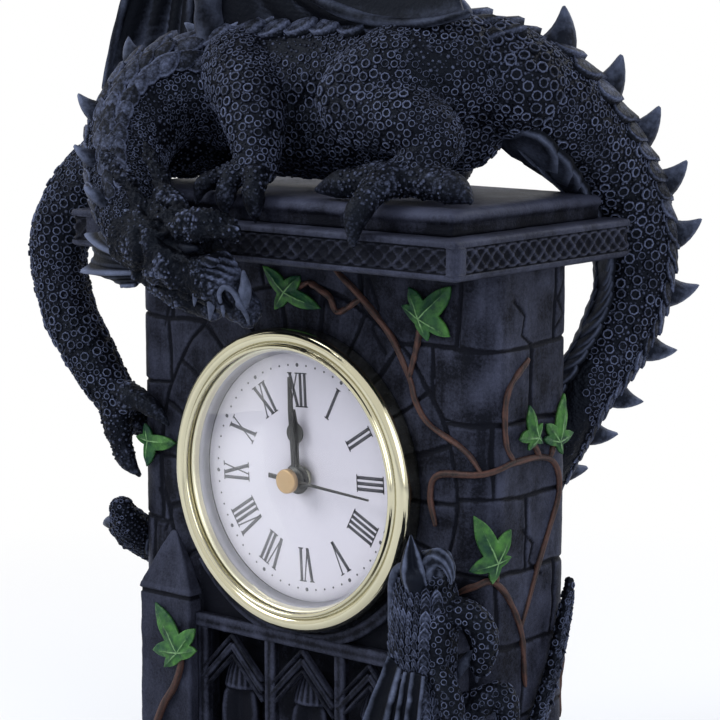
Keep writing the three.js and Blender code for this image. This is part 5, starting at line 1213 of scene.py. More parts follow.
LEFT_WING = {"root": [-34, -11, 206], "wrist": [-36, -12, 262],
             "fingers": [([6, -14, 276], [52, -4, 266]), ([16, -14, 262], [63, -5, 240]),
                         ([-4, -17, 204], [46, -12.5, 217])]}
RIGHT_WING = {"root": [-46, 3, 198], "wrist": [-54, 16, 262],
              "fingers": [([-82, 22, 270], [-90, 24, 232]), ([-84, 14, 242], [-87, 4, 196]),
                          ([-68, 15, 222], [-64, 12, 196])]}


def bent(start, middle, end, t):
    """A curve that leaves start towards middle and comes into end from it: the squares of a Bezier curve."""
    t = np.asarray(t)[..., None]
    return (1 - t) ** 2 * start + 2 * t * (1 - t) * middle + t**2 * end


def knobbed(t, angle):
    """A wing bone's radius: ridged along its length, with a knob halfway."""
    return 1 + 0.05 * np.sin(60 * t + 3 * np.sin(angle)) + 0.1 * bell(t - 0.5, 0.03)


def wing_surfaces(wing):
    """The membrane and the bones. The membrane blends from each bone to the next, hollowed between them at
    its free edge and bowed back, with folds that fan out from the wrist as a sine of the way across."""
    root, wrist = table(wing["root"]), table(wing["wrist"])
    rays = [(table(middle), table(tip)) for middle, tip in wing["fingers"]] + [((root + wrist) / 2, root)]
    u = np.linspace(0, 1, 66)[:, None]
    v = np.linspace(0, 1, 50 * (len(rays) - 1) + 1)[None]
    place = v * (len(rays) - 1)
    k = np.minimum(place.astype(int), len(rays) - 2)
    between = place - k
    belly = np.sin(math.pi * between)
    reach = (0.05 + 0.94 * u) * (1 - np.where(k == len(rays) - 2, -0.08, 0.12) * belly)
    bones = np.stack([bent(wrist, middle, tip, reach) for middle, tip in rays])
    bone = np.broadcast_to(k[None, ..., None], bones[:1].shape)
    first, second = (np.take_along_axis(bones, bone + step, 0)[0] for step in (0, 1))
    grid = first + (second - first) * between[..., None]
    folds = np.sin(TURN * 4 * between + 2.5 * u) * np.sin(math.pi * between) ** 0.5 * (0.3 + 0.7 * u)
    crease = np.abs(np.sin(TURN * 13 * u + 4 * between + 1.5 * drift(grid, 9 * MM, 91))) * belly * u
    grid[..., 1] += (5 * belly * u + 0.7 * folds + 0.35 * crease) * MM
    parts = [thick_sheet(grid, 1.3 * MM, 0.3 + 0.22 * folds + 0.3 * (crease**3) + 0.35 * u**8)]
    t = np.linspace(0, 1, 12)
    for number, (middle, tip) in enumerate(rays):
        thick, thin = (4.2, 3.2) if number == len(rays) - 1 else (1.0, 2.6)
        radius = (thin + (thick - thin) * t) * MM
        parts.append(tube(np.column_stack([bent(wrist, middle, tip, t), radius]), 1.2 * MM, 16, shape=knobbed,
                          wear_and_shade=lambda s, a: 0.6 + 0.15 * np.sin(3 * a + 20 * s) + 0 * s))
    thumb = np.column_stack([wrist + table([[0, 0, 0], [-4, -3, 6], [-3, -5, 10]]), table([2.4, 1.4, 0.3])])
    return joined(*parts, tube(thumb, 0.6 * MM, 12, wear_and_shade=0.7))


class CLOCK_OT_wings(bpy.types.Operator):
    """Both wings, with bones and folded skin"""
    bl_idname = "clock.wings"
    bl_label = "Wings"

    def execute(self, context):
        for side, wing in (("left", LEFT_WING), ("right", RIGHT_WING)):
            node = f"dragon_{side}_wing"
            piece(node + "_skin", wing_surfaces(wing), "wing_casting", (node,), look="wing")
        return {"FINISHED"}


# Worked stone and bars

def stacked(levels, step, grain, seed, relief=None, rise=0.45):
    """A block whose plan is a rounded rectangle at every level [z, half width, front, back, corner, wear] in
    millimetres. Its levels are resampled, its sides are roughened, and relief(s, z, out) may lift them
    further and add to their wear."""
    rows = smooth_rows(np.asarray(levels, float), rise) * [MM, MM, MM, MM, MM, 1]
    around = 4 * rows[:, 1].max() + 2 * (rows[:, 3] - rows[:, 2]).max()
    count = int(around / step)
    share = np.arange(count) / count
    grid, wear_and_shade = np.empty((len(rows), count, 3)), np.empty((len(rows), count))
    for i, (z, half, front, back, corner, worn) in enumerate(rows):
        run = 4 * (half - corner) + 2 * (back - front - 2 * corner) + TURN * corner
        plan, out = on_outline(share * run, half, front, back, corner)
        place = np.column_stack([plan, np.full(count, z)])
        rough = layered(place, 6 * MM, seed, 4)
        edge = np.clip(worn - 0.55, 0, 1)
        chip = np.clip(drift(place, 3 * MM, seed + 7) - 0.35, 0, 1) * edge
        lift = (grain * rough - 1.1 * chip) * MM
        wear_and_shade[i] = worn + 0.28 * rough - 0.5 * chip
        if relief:
            raised, added = relief(share * run, z, out)
            lift, wear_and_shade[i] = lift + raised, wear_and_shade[i] + added
        grid[i] = place + np.column_stack([out * lift[:, None], np.zeros(count)])
    return lofted(grid, wear_and_shade)


def smooth_rows(rows, step):
    """Rows of numbers with more put between them, straight, so that none is over a step from the next."""
    gaps = np.maximum(np.ceil(np.abs(np.diff(rows[:, :4], axis=0)).max(1) / step).astype(int), 1)
    place = np.append(0, np.cumsum(gaps))
    return read_off(np.arange(place[-1] + 1), place, rows)


def insets(plan, profile):
    """Levels [z, inset, wear] of a block with this plan [half width, front, back, corner]."""
    half, front, back, corner = plan
    return [[z, half - inset, front + inset, back - inset, max(corner - inset, 0.4), wear_and_shade]
            for z, inset, wear_and_shade in profile]


def bar(points, half_width, half_depth, seed, around=24):
    """A straight-ended bar along a path, its section a rounded rectangle: the sixth powers of its two shares
    add up to one. Its edges are worn bright and its sides roughened."""
    path = smooth_path(points, 0.7 * MM)
    _, out, side = directions(path, (0, -1, 0))
    angle = round_angles(around)[None]
    c, d = np.cos(angle), np.sin(angle)
    reach = ((np.abs(c) / half_depth) ** 6 + (np.abs(d) / half_width) ** 6) ** (-1 / 6)
    outwards = c[..., None] * out[:, None] + d[..., None] * side[:, None]
    skin = path[:, None] + reach[..., None] * outwards
    rough = layered(skin, 4 * MM, seed, 4)
    corner = np.abs(c * d) * 2
    return lofted(skin + rough[..., None] * 0.06 * MM * outwards, 0.25 + 0.5 * corner**2 + 0.3 * rough)


CORNICE_PLAN, SLAB_PLAN, PLINTH_PLAN = [60.6, -35, 34, 1.2], [55.5, -30, 29, 1.2], [64, -36, 35, 2.5]
CORNICE_LEVELS = [[158.8, 24, 0.3], [158.8, 1.6, 0.5], [159.1, 0.7, 0.9], [159.6, 0.15, 0.95],
                  [160.35, 0.1, 0.8], [160.5, 1.0, 0.1], [166.35, 1.0, 0.1], [166.5, 0.1, 0.8],
                  [167.2, 0.05, 0.8], [167.8, 0.35, 1.0], [168.1, 1.3, 0.9], [168.1, 24, 0.4]]
# The slab's upright face under its rounded nose has low wear: less rubbed paint, and partly painted shade,
# the shadow under the nose.
SLAB_LEVELS = [[168.2, 24, 0.1], [168.2, 1.0, 0.1], [168.4, 0.75, 0.25], [170.6, 0.7, 0.32],
               [171.1, 0.55, 0.38], [171.4, 0.2, 0.55], [172.0, 0, 0.85], [172.8, 0.15, 1.1],
               [173.4, 0.6, 1.25], [173.85, 1.3, 1.15], [174.1, 2.3, 1.15], [174.15, 4, 1.15],
               [174.1, 9, 1.15], [174.1, 26, 1.15]]
PLINTH_LEVELS = [[1.5, 26, 0.2], [1.5, 1.2, 0.3], [1.8, 0.5, 0.6], [2.6, 0.1, 0.7], [8, 0, 0.6],
                 [8.9, 0.3, 0.85], [9.5, 1.4, 0.95], [9.7, 2.6, 0.7], [9.75, 6.4, 0.35], [10.3, 7, 0.3],
                 [15.6, 7.1, 0.55], [16.6, 7.3, 0.85], [17.3, 8, 1.0], [17.5, 9, 0.8], [17.5, 26, 0.4]]
FELT_LEVELS = [[0.02, 26, 0.5], [0.02, 2, 0.5], [0.3, 1.6, 0.5], [0.9, 1.6, 0.5], [1.18, 2, 0.5],
               [1.18, 26, 0.5]]
LATTICE = {"strands": 4, "pitch": 4 * MM, "swing": 2.55 * MM, "middle": 163.45 * MM, "width": 0.36 * MM}


def frieze(s, z, out):
    """The sunk band's lattice: cosine strands, each one pitch on from the last, so that four of them loop at
    the edges and cross in diamonds between. A strand's height falls off as a bell of the distance."""
    half, front, back, _ = CORNICE_PLAN
    if abs(z - LATTICE["middle"]) > 3.05 * MM:
        return 0 * s, 0 * s
    period = LATTICE["strands"] * LATTICE["pitch"]
    height = 0 * s
    for k in range(LATTICE["strands"]):
        phase = TURN * (s / period + k / LATTICE["strands"])
        strand = LATTICE["middle"] + LATTICE["swing"] * np.cos(phase)
        slope = LATTICE["swing"] * TURN / period * np.sin(phase)
        height = np.maximum(height, bell(np.abs(z - strand) / np.sqrt(1 + slope**2), LATTICE["width"]))
    facing_front = np.abs(out[:, 1] + 1) < 0.01
    height = height * np.where(facing_front, 0.6, 0.78)
    flat, side = half * MM, (back - front) * MM
    corners = np.array([flat, flat + side, 3 * flat + side, 3 * flat + 2 * side])
    post = np.abs(np.mod(s + 0.6 * MM, 4 * flat + 2 * side)[:, None] - corners).min(1) < 2.4 * MM
    wear_and_shade = np.where(facing_front, 1.25, 1.7) * height - 0.3
    return np.where(post, 0.9 * MM, height * MM), np.where(post, 0.75, wear_and_shade)


class CLOCK_OT_mouldings(bpy.types.Operator):
    """Cornice with its latticed frieze, roof slab, stepped base and felt"""
    bl_idname = "clock.mouldings"
    bl_label = "Mouldings and base"

    def execute(self, context):
        made = (("cornice_stone", CORNICE_PLAN, CORNICE_LEVELS, 0.5, frieze, "cornice"),
                ("slab_stone", SLAB_PLAN, SLAB_LEVELS, 0.7, None, "top_slab"),
                ("base_stone", PLINTH_PLAN, PLINTH_LEVELS, 1.0, None, "base_plinth"))
        for number, (name, plan, levels, step, relief, node) in enumerate(made):
            skin = stacked(insets(plan, levels), step * MM, 0.12, 3 + number, relief, rise=0.95 * step)
            piece(name, skin, "stone_casting", (node,))
        felt = stacked(insets([62.6, -34.6, 33.6, 2], FELT_LEVELS), 1.1 * MM, 0.05, 9, rise=0.9)
        piece("felt_pile", felt, "felt", ("felt_base_sheet",))
        return {"FINISHED"}


# The clock insert. A profile's rows are [radius, distance in front of the dial], then wear and tone.

DIAL_TURN = math.radians(3.1)


def arc(radius, front, reach, start, end, count):
    """Rows of a profile on part of a circle, its angle counted from outwards towards the front."""
    return [[radius + reach * math.cos(a), front + reach * math.sin(a)]
            for a in np.radians(np.linspace(start, end, count))]


def turned(profile, count=256, hub=False):
    """A profile carried round the dial's axis: x and z are the radius times the cosine and the sine of the
    angle. It closes on itself, or, with a hub, both its ends are drawn in to the axis."""
    rows = np.array([list(row) + [0.5, 0.5][len(row) - 2:] for row in profile])
    angle = round_angles(count)
    radius, front = rows[:, :1] * MM, rows[:, 1:2] * MM
    grid = xyz(radius * np.cos(angle), DIAL_AXIS[1] - front, DIAL_AXIS[2] + radius * np.sin(angle))
    made = lofted(grid, rows[:, 2:3], rows[:, 3:], poles=hub)
    if hub:
        return made
    j = np.arange(count)
    last = (len(rows) - 1) * count
    made.faces.append(np.stack([last + j, last + (j + 1) % count, (j + 1) % count, j], 1))
    return outward(made)


def on_dial(points, turn, front):
    """Places [across, up] on the dial, turned clockwise round its axis, at a distance in front of it."""
    x, y = points[..., 0], points[..., 1]
    return xyz(y * np.sin(turn) + x * np.cos(turn), DIAL_AXIS[1] - front,
               DIAL_AXIS[2] + y * np.cos(turn) - x * np.sin(turn))


def blade(distance, half_width, front, turn):
    """A hand: a bevelled section across it at each distance from the axis, as wide there as given."""
    thickness, bevel = 0.45 * MM, 0.12 * MM
    w = np.maximum(half_width, 1.2 * bevel)[:, None]
    out = np.array([-1, -1, 1, 1, 1, 1, -1, -1.0])
    inset = np.array([0, 1, 1, 0, 0, 1, 1, 0]) * bevel
    depth = np.array([bevel, 0, 0, bevel, thickness - bevel, thickness, thickness, thickness - bevel])
    across = out * (w - inset)
    flat = np.stack([across, distance[:, None] + 0 * across], -1)
    return lofted(on_dial(flat, turn, front + depth), 0.5 + 0.5 * (inset == 0))


LETTERS = {  # strokes: across at the top, across at the foot, width, and where its serifs stand
    "I": (1.4, [(0, 0, 0.82)], [(0, 1, 0.75), (0, -1, 0.75)]),
    "V": (2.9, [(-1.15, 0.05, 0.9), (1.2, 0.05, 0.36)], [(-1.15, 1, 0.75), (1.2, 1, 0.6)]),
    "X": (3.0, [(-1.15, 1.15, 0.9), (1.15, -1.15, 0.36)],
          [(-1.15, 1, 0.75), (1.15, 1, 0.6), (1.15, -1, 0.75), (-1.15, -1, 0.6)]),
}
NUMERALS = ["XII", "I", "II", "III", "IIII", "V", "VI", "VII", "VIII", "IX", "X", "XI"]
NUMERAL = {"middle": 21.5 * MM, "half_height": 4.2 * MM, "serif": 0.14 * MM}


def stroke(x0, x1, y0, y1, width, turn):
    """A printed stroke from foot to top with level ends: a thin slab of ink on the dial."""
    corners = np.array([[x0 - width / 2, y0], [x0 + width / 2, y0], [x1 + width / 2, y1],
                        [x1 - width / 2, y1]])
    rings = np.stack([on_dial(corners, turn, height) for height in (0.01 * MM, 0.05 * MM)])
    return outward(Surface(rings, [quads(2, 4), [[0, 3, 2, 1], [4, 5, 6, 7]]]))


def numeral(text, turn):
    """Letters side by side, centred, their tops outwards."""
    wide = sum(LETTERS[letter][0] for letter in text)
    x, parts = -wide / 2, []
    low, high = (NUMERAL["middle"] + way * NUMERAL["half_height"] for way in (-1, 1))
    for letter in text:
        advance, strokes, serifs = LETTERS[letter]
        middle = x + advance / 2
        for top, foot, width in strokes:
            parts.append(stroke((middle + foot) * MM, (middle + top) * MM, low, high, width * MM, turn))
        for place, way, half in serifs:
            y = (low, high)[way > 0] - way * NUMERAL["serif"]
            parts.append(stroke((middle + place) * MM, (middle + place) * MM, y - NUMERAL["serif"],
                                y + NUMERAL["serif"], 2 * half * MM, turn))
        x += advance
    return parts


def minute_dots():
    """Sixty printed dots, every fifth a larger one: flat domes of ten sides."""
    parts, angle = [], round_angles(10)
    for minute in range(60):
        size = (0.5 if minute % 5 == 0 else 0.27) * MM
        turn = minute * TURN / 60 - DIAL_TURN
        rings = []
        for reach, height in ((size, 0.01), (size * 0.9, 0.05)):
            outline = np.stack([reach * np.cos(angle), 27.6 * MM + reach * np.sin(angle)], -1)
            rings.append(on_dial(outline, turn, height * MM))
        parts.append(lofted(np.stack(rings)))
    return parts


def along_hand(disc, length):
    """Distances along a hand: a cosine's close steps over half its disc, then even ones to its tip."""
    return np.concatenate([-disc * np.cos(np.linspace(0, math.pi / 2, 24)), np.linspace(0.2, length, 130)])


# Each hand's body, distances along it, places and half widths, discs as [distance, radius], its distance in
# front of the dial and its turn in degrees.
HANDS = (
    ("hour_hand", along_hand(3.7, 17), [0, 3, 8, 8.4, 13.6, 14, 17], [0.9, 0.95, 0.95, 1.1, 1.1, 0.9, 0.35],
     [(0, 3.7), (11.2, 2.6)], 1.6, 0),
    ("minute_hand", along_hand(3.1, 25), [0, 3, 9, 16, 25], [0.55, 0.55, 0.6, 0.85, 0.5],
     [(0, 3.1)], 2.8, 0),
    ("second_hand", np.linspace(-7, 24.4, 160), [-7, -2, 0, 24.4], [0.6, 0.55, 0.42, 0.26],
     [(0, 1.6)], 4, 97))


class CLOCK_OT_insert(bpy.types.Operator):
    """Bezel, lens, reflector, printed dial, hands and hub cap"""
    bl_idname = "clock.insert"
    bl_label = "Clock insert"

    def execute(self, context):
        def fixed(name, profile, slot, node, **turning):
            piece(name, turned(profile, **turning), slot, (node,), "insert")

        rolls = [[32.6, -0.15], [36.6, -0.15], [37.0, 0.3], [37.15, 1.6], *arc(35.1, 4.4, 2.05, -12, 140, 28),
                 *arc(32.7, 6.5, 0.55, 20, 215, 12), [32.5, 5.98], [32.55, 5.6]]
        fixed("bezel_rolls", rolls, "gilt_metal", "bezel")
        gilt, silver = (0.5, 1), (0.5, 0)
        cone = [[32.4, 4.9, *gilt], [31.95, 4.9, *gilt], [31.65, 3.9, *gilt], [31.45, 3.1, *gilt],
                [31.4, 3.0, *silver], [30.5, 0.35, *silver], [31.1, 0.35, *silver], [32.4, 3.9, *silver]]
        fixed("reflector_cone", cone, "reflector_metal", "reflector_ring")
        fixed("lens_glass", self.lens(), "clear_glass", "lens", count=192, hub=True)
        card = [[2.9, 0], *([r, 0] for r in np.linspace(6, 30.5, 8)), [30.6, -0.1], [30.6, -0.15],
                [2.9, -0.5]]
        fixed("dial_card", card, "dial_paint", "dial")
        letters = [part for hour, text in enumerate(NUMERALS)
                   for part in numeral(text, hour * TURN / 12 - DIAL_TURN)]
        piece("dial_print", joined(*letters, *minute_dots()), "dial_paint", body="insert", look="ink")
        self.hands()
        cap = turned([[0.1, 6.45], [1.4, 6.45], [2.5, 6.42], *arc(2.5, 5.95, 0.48, 75, 0, 6), [2.98, 4.9],
                      [2.85, 4.76], [0.1, 4.76]], 96, hub=True)
        piece("hub_cap_dome", cap, "copper_cap", ("hub_cap",), "second_hand")
        return {"FINISHED"}

    def lens(self):
        """A domed crystal's profile: it rises by its dome times one less the cube of the radius's share."""
        dome = [[30.9 * t, 3.0 * (1 - t**3)] for t in np.linspace(0.01, 1, 26)]
        return ([[r, 5.85 + rise] for r, rise in dome] + [[32.3, 5.85], [32.38, 5.45], [32.3, 5.05]]
                + [[r, 5.05 + rise] for r, rise in dome[::-1]])

    def hands(self):
        """The three hands: as wide at each place as the table says, or as the half circle of a disc where
        that is wider."""
        for name, y, places, widths, discs, front, degrees in HANDS:
            width = np.interp(y, places, widths, left=0)
            for middle, radius in discs:
                width = np.maximum(width, np.sqrt(np.clip(radius**2 - (y - middle) ** 2, 0, None)))
            turn = math.radians(degrees) - DIAL_TURN
            piece(name + "_blade", blade(y * MM, width * MM, front * MM, turn), "black_hand", (name,), name)


# Ivy. A vine's places are [s, z] on the tower.

VINES = tables(
    [[2.8, 153.1], [9, 150.2], [11.8, 146.6], [19, 150.4]],
    [[11.2, 156.5], [19, 150.8], [28, 142.2], [33.6, 133], [35.6, 127.7], [39.6, 122.8], [49.5, 118],
     [53.5, 112.5]],
    [[41.5, 99.4], [40, 106.1], [42.4, 111.2], [53.5, 112.5], [62.2, 114.3], [76.2, 113.1], [79.6, 104.8],
     [72.8, 90.6], [65.2, 73.8]],
    [[67, 137.8], [59.2, 130.8], [58.8, 119.5], [62.2, 114.3]],
    [[47.8, 83.8], [52.2, 86.1], [56.8, 86.4], [65.2, 73.8], [67.2, 60]],
    [[-3.8, 150.2], [2.8, 153.1]], [[37.6, 147.4], [33.6, 133]], [[56.3, 91.8], [56.8, 86.4]],
    [[68.8, 119.4], [72, 113.7]], [[77.8, 117.1], [76.2, 113.1]],
    [[84.8, 76.7], [82.2, 73.2], [82.5, 66.3], [85, 57.3], [85, 48.1]])
# Each leaf's place [s, z] on the tower and its tips: degrees clockwise from up, and distance from the stalk.
LEAVES = [((-3.8, 150.2), ((-50, 9.2), (47, 6.3), (107, 11), (-147, 5.2))),
          ((37.6, 147.4), ((46, 11.7), (-26, 7.9), (112, 9.2), (153, 5.5), (-63, 5.9))),
          ((56.3, 91.8), ((-26, 12.7), (25, 8.4), (-101, 7.2), (-161, 4.9), (68, 3.6))),
          ((68.8, 119.4), ((-18, 8.3), (-86, 6.8), (-125, 4.2), (127, 2.7), (28, 3.7))),
          ((77.8, 117.1), ((15, 11.5), (-46, 7.1), (74, 5.7), (164, 3.1), (-77, 6.1)))]
HAND_LEAF = ((-17, 4.5), (88, 9.2), (-172, 6.9), (-80, 4))
BUTTRESS_LEAF = ((-39, 14.6), (38, 9), (-95, 9.2), (76, 6.5), (-133, 6.7))
BUTTRESS_STALK = table([[-36.2, -22.4, 55.6, 0.8], [-36.4, -22.3, 52.5, 0.9], [-38.6, -22.3, 47, 0.95],
                        [-42.4, -22.3, 41.5, 1], [-45.6, -22.3, 35, 1]])


def grooved(t, angle, seed):
    """Ridges that wind slowly along a stem."""
    return np.sin(4 * angle + 9 * t + seed)


def vine_tube(route, seed):
    """A stem on the wall whose radius swells at knots and thins to its tip, ridged along its length."""
    path = smooth_path(route, 1.2 * MM)
    t = np.linspace(0, 1, len(path))
    radius = sizes().vine_radius * (1 - 0.24 * t + 0.06 * np.sin(31 * t + seed))
    radius = radius * np.clip(4 - 3.4 * np.abs(2 * t - 1), 0.6, 1)
    centre = on_tower(path[:, 0], path[:, 1], 0.95 * MM + 0.15 * MM * np.sin(9 * t + seed))
    return tube(np.column_stack([centre, radius]), 0.6 * MM, 12,
                shape=lambda t, a: 1 + 0.05 * grooved(t, a, seed) + 0.04 * np.sin(60 * t + 2 * a),
                wear_and_shade=lambda t, a: 0.55 + 0.2 * grooved(t, a, seed) + 0.15 * np.sin(40 * t + a))


def leaf_blade(tips, seed):
    """An ivy leaf in x and y. Its outline runs through its tips and a notch midway between each two, at about
    half the shorter one's length, its edges bulging as a sine. It folds down from a vein to each tip and
    sinks as the square of the distance from the stalk."""
    tips = np.array(sorted((math.radians(turn) % TURN, length) for turn, length in tips))
    gap = (np.roll(tips[:, 0], -1) - tips[:, 0]) % TURN
    shorter = np.minimum(tips[:, 1], np.roll(tips[:, 1], -1))
    notches = np.stack([tips[:, 0] + gap / 2, shorter * np.interp(gap, [0.6, 1.4, 2.6], [0.7, 0.5, 0.3])], 1)
    corners = np.stack([tips, notches], 1).reshape(-1, 2)
    corner = corners[:, 1:] * np.stack([np.sin(corners[:, 0]), np.cos(corners[:, 0])], 1)
    t = np.linspace(0, 1, 12, endpoint=False)[None, :, None]
    run = (np.roll(corner, -1, axis=0) - corner)[:, None]
    outline = corner[:, None] + run * t + 0.09 * np.sin(math.pi * t) * run[..., ::-1] * [-1, 1]
    outline = outline.reshape(-1, 2)
    reach = np.linalg.norm(outline, axis=1)[None]
    bend = np.arctan2(outline[:, 0], outline[:, 1])
    away = apart(bend[:, None], tips[None, :, 0]).min(1)[None]
    share = np.concatenate([np.linspace(0.04, 1, 20), [1.0], np.linspace(1, 0.04, 8)])[:, None]
    layer = np.repeat([0, 1, 2], [20, 1, 8])[:, None]
    far = share * reach
    beside = far * np.sin(np.minimum(away, math.pi / 2))
    vein = bell(beside, 0.3) * np.clip(1.3 - share, 0, 1)
    flat = outline[None] * share[..., None]
    ripple = layered(flat + 40 * seed, 4, seed, 3)
    height = 1.0 - 0.009 * far**2 - 0.2 * beside + 0.22 * vein + 0.25 * ripple - 0.35 * layer
    wear_and_shade = np.where(layer == 2, 0.2, np.maximum(0.25 + 0.3 * share**6 + 0.2 * ripple, vein * 1.1))
    tone = 0.5 + 0.5 * ripple - 0.35 * bell(beside, 1.2) + 0.2 * share
    return lofted(xyz(flat[..., 0], flat[..., 1], height) * MM, wear_and_shade, tone)


def set_on_wall(leaf, origin, out):
    """A leaf drawn in x and y put on a wall: its x goes across, its y up and its height outwards."""
    across = np.array([-out[1], out[0], 0])
    p = leaf.points
    leaf.points = origin + p[:, :1] * across + p[:, 1:2] * [0, 0, 1] + p[:, 2:] * np.append(out, 0)
    return outward(leaf)


class CLOCK_OT_ivy(bpy.types.Operator):
    """Ridged vines and folded five-lobed leaves"""
    bl_idname = "clock.ivy"
    bl_label = "Ivy"

    def execute(self, context):
        stems = [vine_tube(route, number) for number, route in enumerate(VINES)]
        piece("ivy_stems", joined(*stems), "vine_paint", ("ivy_spray",))
        leaves = []
        for number, ((s, z), tips) in enumerate(LEAVES):
            plan, out = on_outline(np.array(s * MM), *TOWER_PLAN)
            origin = np.append(plan + out * 1.9 * MM, z * MM)
            leaves.append(set_on_wall(leaf_blade(tips, number), origin, out))
        front = np.array([0, -1.0])
        leaves.append(set_on_wall(leaf_blade(HAND_LEAF, 11), table([-50.2, -18.2, 108.4]), front))
        leaves.append(set_on_wall(leaf_blade(BUTTRESS_LEAF, 12), table([-36.2, -22.8, 56.2]), front))
        piece("ivy_leaves", joined(*leaves), "leaf_paint", ("ivy_hand_leaf", "ivy_buttress_sprig"))
        stalk = tube(BUTTRESS_STALK, 0.6 * MM, 12, wear_and_shade=lambda t, a: 0.55 + 0.2 * grooved(t, a, 0))
        piece("ivy_buttress_stalk", stalk, "vine_paint")
        return {"FINISHED"}


# The window bay: buttresses, tracery and the figures in it

BUTTRESS_LEVELS = [[17.8, 8.6, 2.2, 0.5, 0.5], [18.2, 8.8, 2.35, 0.6, 0.8], [40, 8.8, 2.35, 0.6, 0.72],
                   [69.4, 8.7, 2.3, 0.6, 0.75], [69.7, 8.5, 2.0, 0.6, 0.1], [70.5, 8.5, 2.0, 0.6, 0.1],
                   [70.9, 9.0, 2.5, 0.6, 0.9], [71.9, 8.9, 2.4, 0.6, 1.05], [72.4, 8.5, 2.2, 0.5, 0.8],
                   [79, 5.0, 1.35, 0.5, 0.75], [85.4, 1.2, 0.5, 0.3, 1.0], [86, 0.6, 0.3, 0.2, 0.9]]
WINDOW = {"pitch": 22.6, "left": -33.6}
FIGURE_X = [-21.87, 1.3, 22.6]


def buttress(side):
    """A rounded slab against the wall whose top leans in from three sides."""
    levels = [[z, half, -deep, deep, corner, wear_and_shade] for z, half, deep, corner, wear_and_shade in BUTTRESS_LEVELS]
    made = stacked(levels, 0.45 * MM, 0.22, 20 + side)
    lean = (made.points[:, 2] - 72 * MM).clip(0, None) / (14 * MM)
    made.points[:, 0] += side * 42.6 * MM
    made.points[:, 1] += (-19.1 + 1.75 * lean) * MM
    return made


def tracery():
    """Flat rail, sill and mullions, three nested chevrons in each window, the middle one broad, and the
    curved band under the dial, all bars with worn edges."""
    def flat(x0, z0, x1, z1, y):
        return table([[x0, y, z0], [(x0 + x1) / 2, y, (z0 + z1) / 2], [x1, y, z1]])

    bars = [bar(flat(-34.1, z, 34.1, z, -18.15), half * MM, 1.25 * MM, seed=5, around=28)
            for z, half in ((64.7, 1.8), (21.9, 2.0))]
    for k in range(4):
        x = WINDOW["left"] + 1.6 + min(k * WINDOW["pitch"], 65)
        bars.append(bar(flat(x, 22, x, 65, -17.8), 1.7 * MM, 1.15 * MM, seed=k, around=28))
    for x in FIGURE_X:
        for drop, half_width, depth in ((0, 0.36, -18.3), (2.6, 0.72, -18.1), (5.2, 0.34, -17.9)):
            for side in (-1, 1):
                leg = flat(x, 62.4 - drop, x + side * 10, 52.2 - drop, depth)
                bars.append(bar(leg, half_width * MM, 1.0 * MM, seed=int(9 * drop)))
    angle = np.radians(np.linspace(-143, -37, 60))
    ring = np.column_stack([39.7 * np.cos(angle), -17.95 + 0 * angle, 105 + 39.7 * np.sin(angle)]) * MM
    return joined(*bars, bar(ring, 1.6 * MM, 1.1 * MM, seed=8, around=28))


def robed_figure(x, seed):
    """A standing robe: its radius falls with height and cosine folds run down it. A pleated hood like a bell
    closes it above; below the hood's hem the front is pressed in by a deep hollow, the empty hood, between
    two drapes."""
    z = np.linspace(0, 1, 96)[:, None]
    angle = round_angles(88)[None]
    radius = np.interp(z, [0, 0.08, 0.4, 0.56, 0.67, 0.715, 0.73, 0.79, 0.87, 0.93, 0.975, 1],
                       [6.4, 6.3, 5.7, 5.8, 5.2, 4.4, 4.8, 4.4, 3.6, 2.6, 1.3, 0.2])
    folds = np.cos(9 * angle + 1.5 * np.sin(3 * z + seed)) * 0.42 + np.cos(17 * angle + seed) * 0.16
    pleats = np.cos(15 * angle + 2 * seed + 1.5 * z) * ramp(z, 0.725, 0.76) * ramp(1 - z, 0, 0.06)
    front = apart(angle, 1.25)
    hollow = bell(front, 0.85, 6) * ramp(z, 0.28, 0.4) * (1 - ramp(z, 0.712, 0.728))
    radius = radius * (1 + 0.11 * folds * ramp(0.6 - z, 0, 0.3) + 0.045 * pleats) * (1 - 0.75 * hollow)
    hem = bell(z - 0.742, 0.014) * bell(front, 1.5, 4)
    drape = bell(front - 1.02, 0.13) * ramp(z, 0.22, 0.38) * (1 - ramp(z, 0.69, 0.72))
    wear_and_shade = 0.22 + 0.35 * folds * ramp(0.6 - z, 0, 0.2) + 0.5 * hem + 0.65 * drape + 0.4 * pleats
    wear_and_shade = wear_and_shade - 1.2 * hollow + 0.3 * ramp(z, 0.72, 0.75)
    place = xyz(x - 1.3 + radius * np.cos(angle), -13.9 - 0.66 * radius * np.sin(angle), 24.4 + 32.3 * z)
    return lofted(place * MM, wear_and_shade)


class CLOCK_OT_windows(bpy.types.Operator):
    """Buttresses, window tracery and hooded figures"""
    bl_idname = "clock.windows"
    bl_label = "Windows"

    def execute(self, context):
        for side, name in ((-1, "left"), (1, "right")):
            piece("buttress_stone_" + name, buttress(side), "stone_casting", ("buttress_" + name,))
        piece("tracery_bars", tracery(), "stone_casting", ("window_tracery",))
        figures = [robed_figure(x, number) for number, x in enumerate(FIGURE_X)]
        piece("figures_robes", joined(*figures, self.back_panel()), "stone_casting", ("hooded_figures",))
        return {"FINISHED"}

    def back_panel(self):
        """The bay's rough back wall, a thin sheet."""
        x, z = np.meshgrid(np.linspace(-34, 34, 124), np.linspace(24.4, 62.8, 74))
        rough = layered(xyz(x, 0, z) * MM, 4 * MM, 31, 4)
        return thick_sheet(xyz(x, -9.9 - 0.25 * rough, z) * MM, 0.8 * MM, 0.12 + 0.25 * rough)


# The hatchling on the front right corner

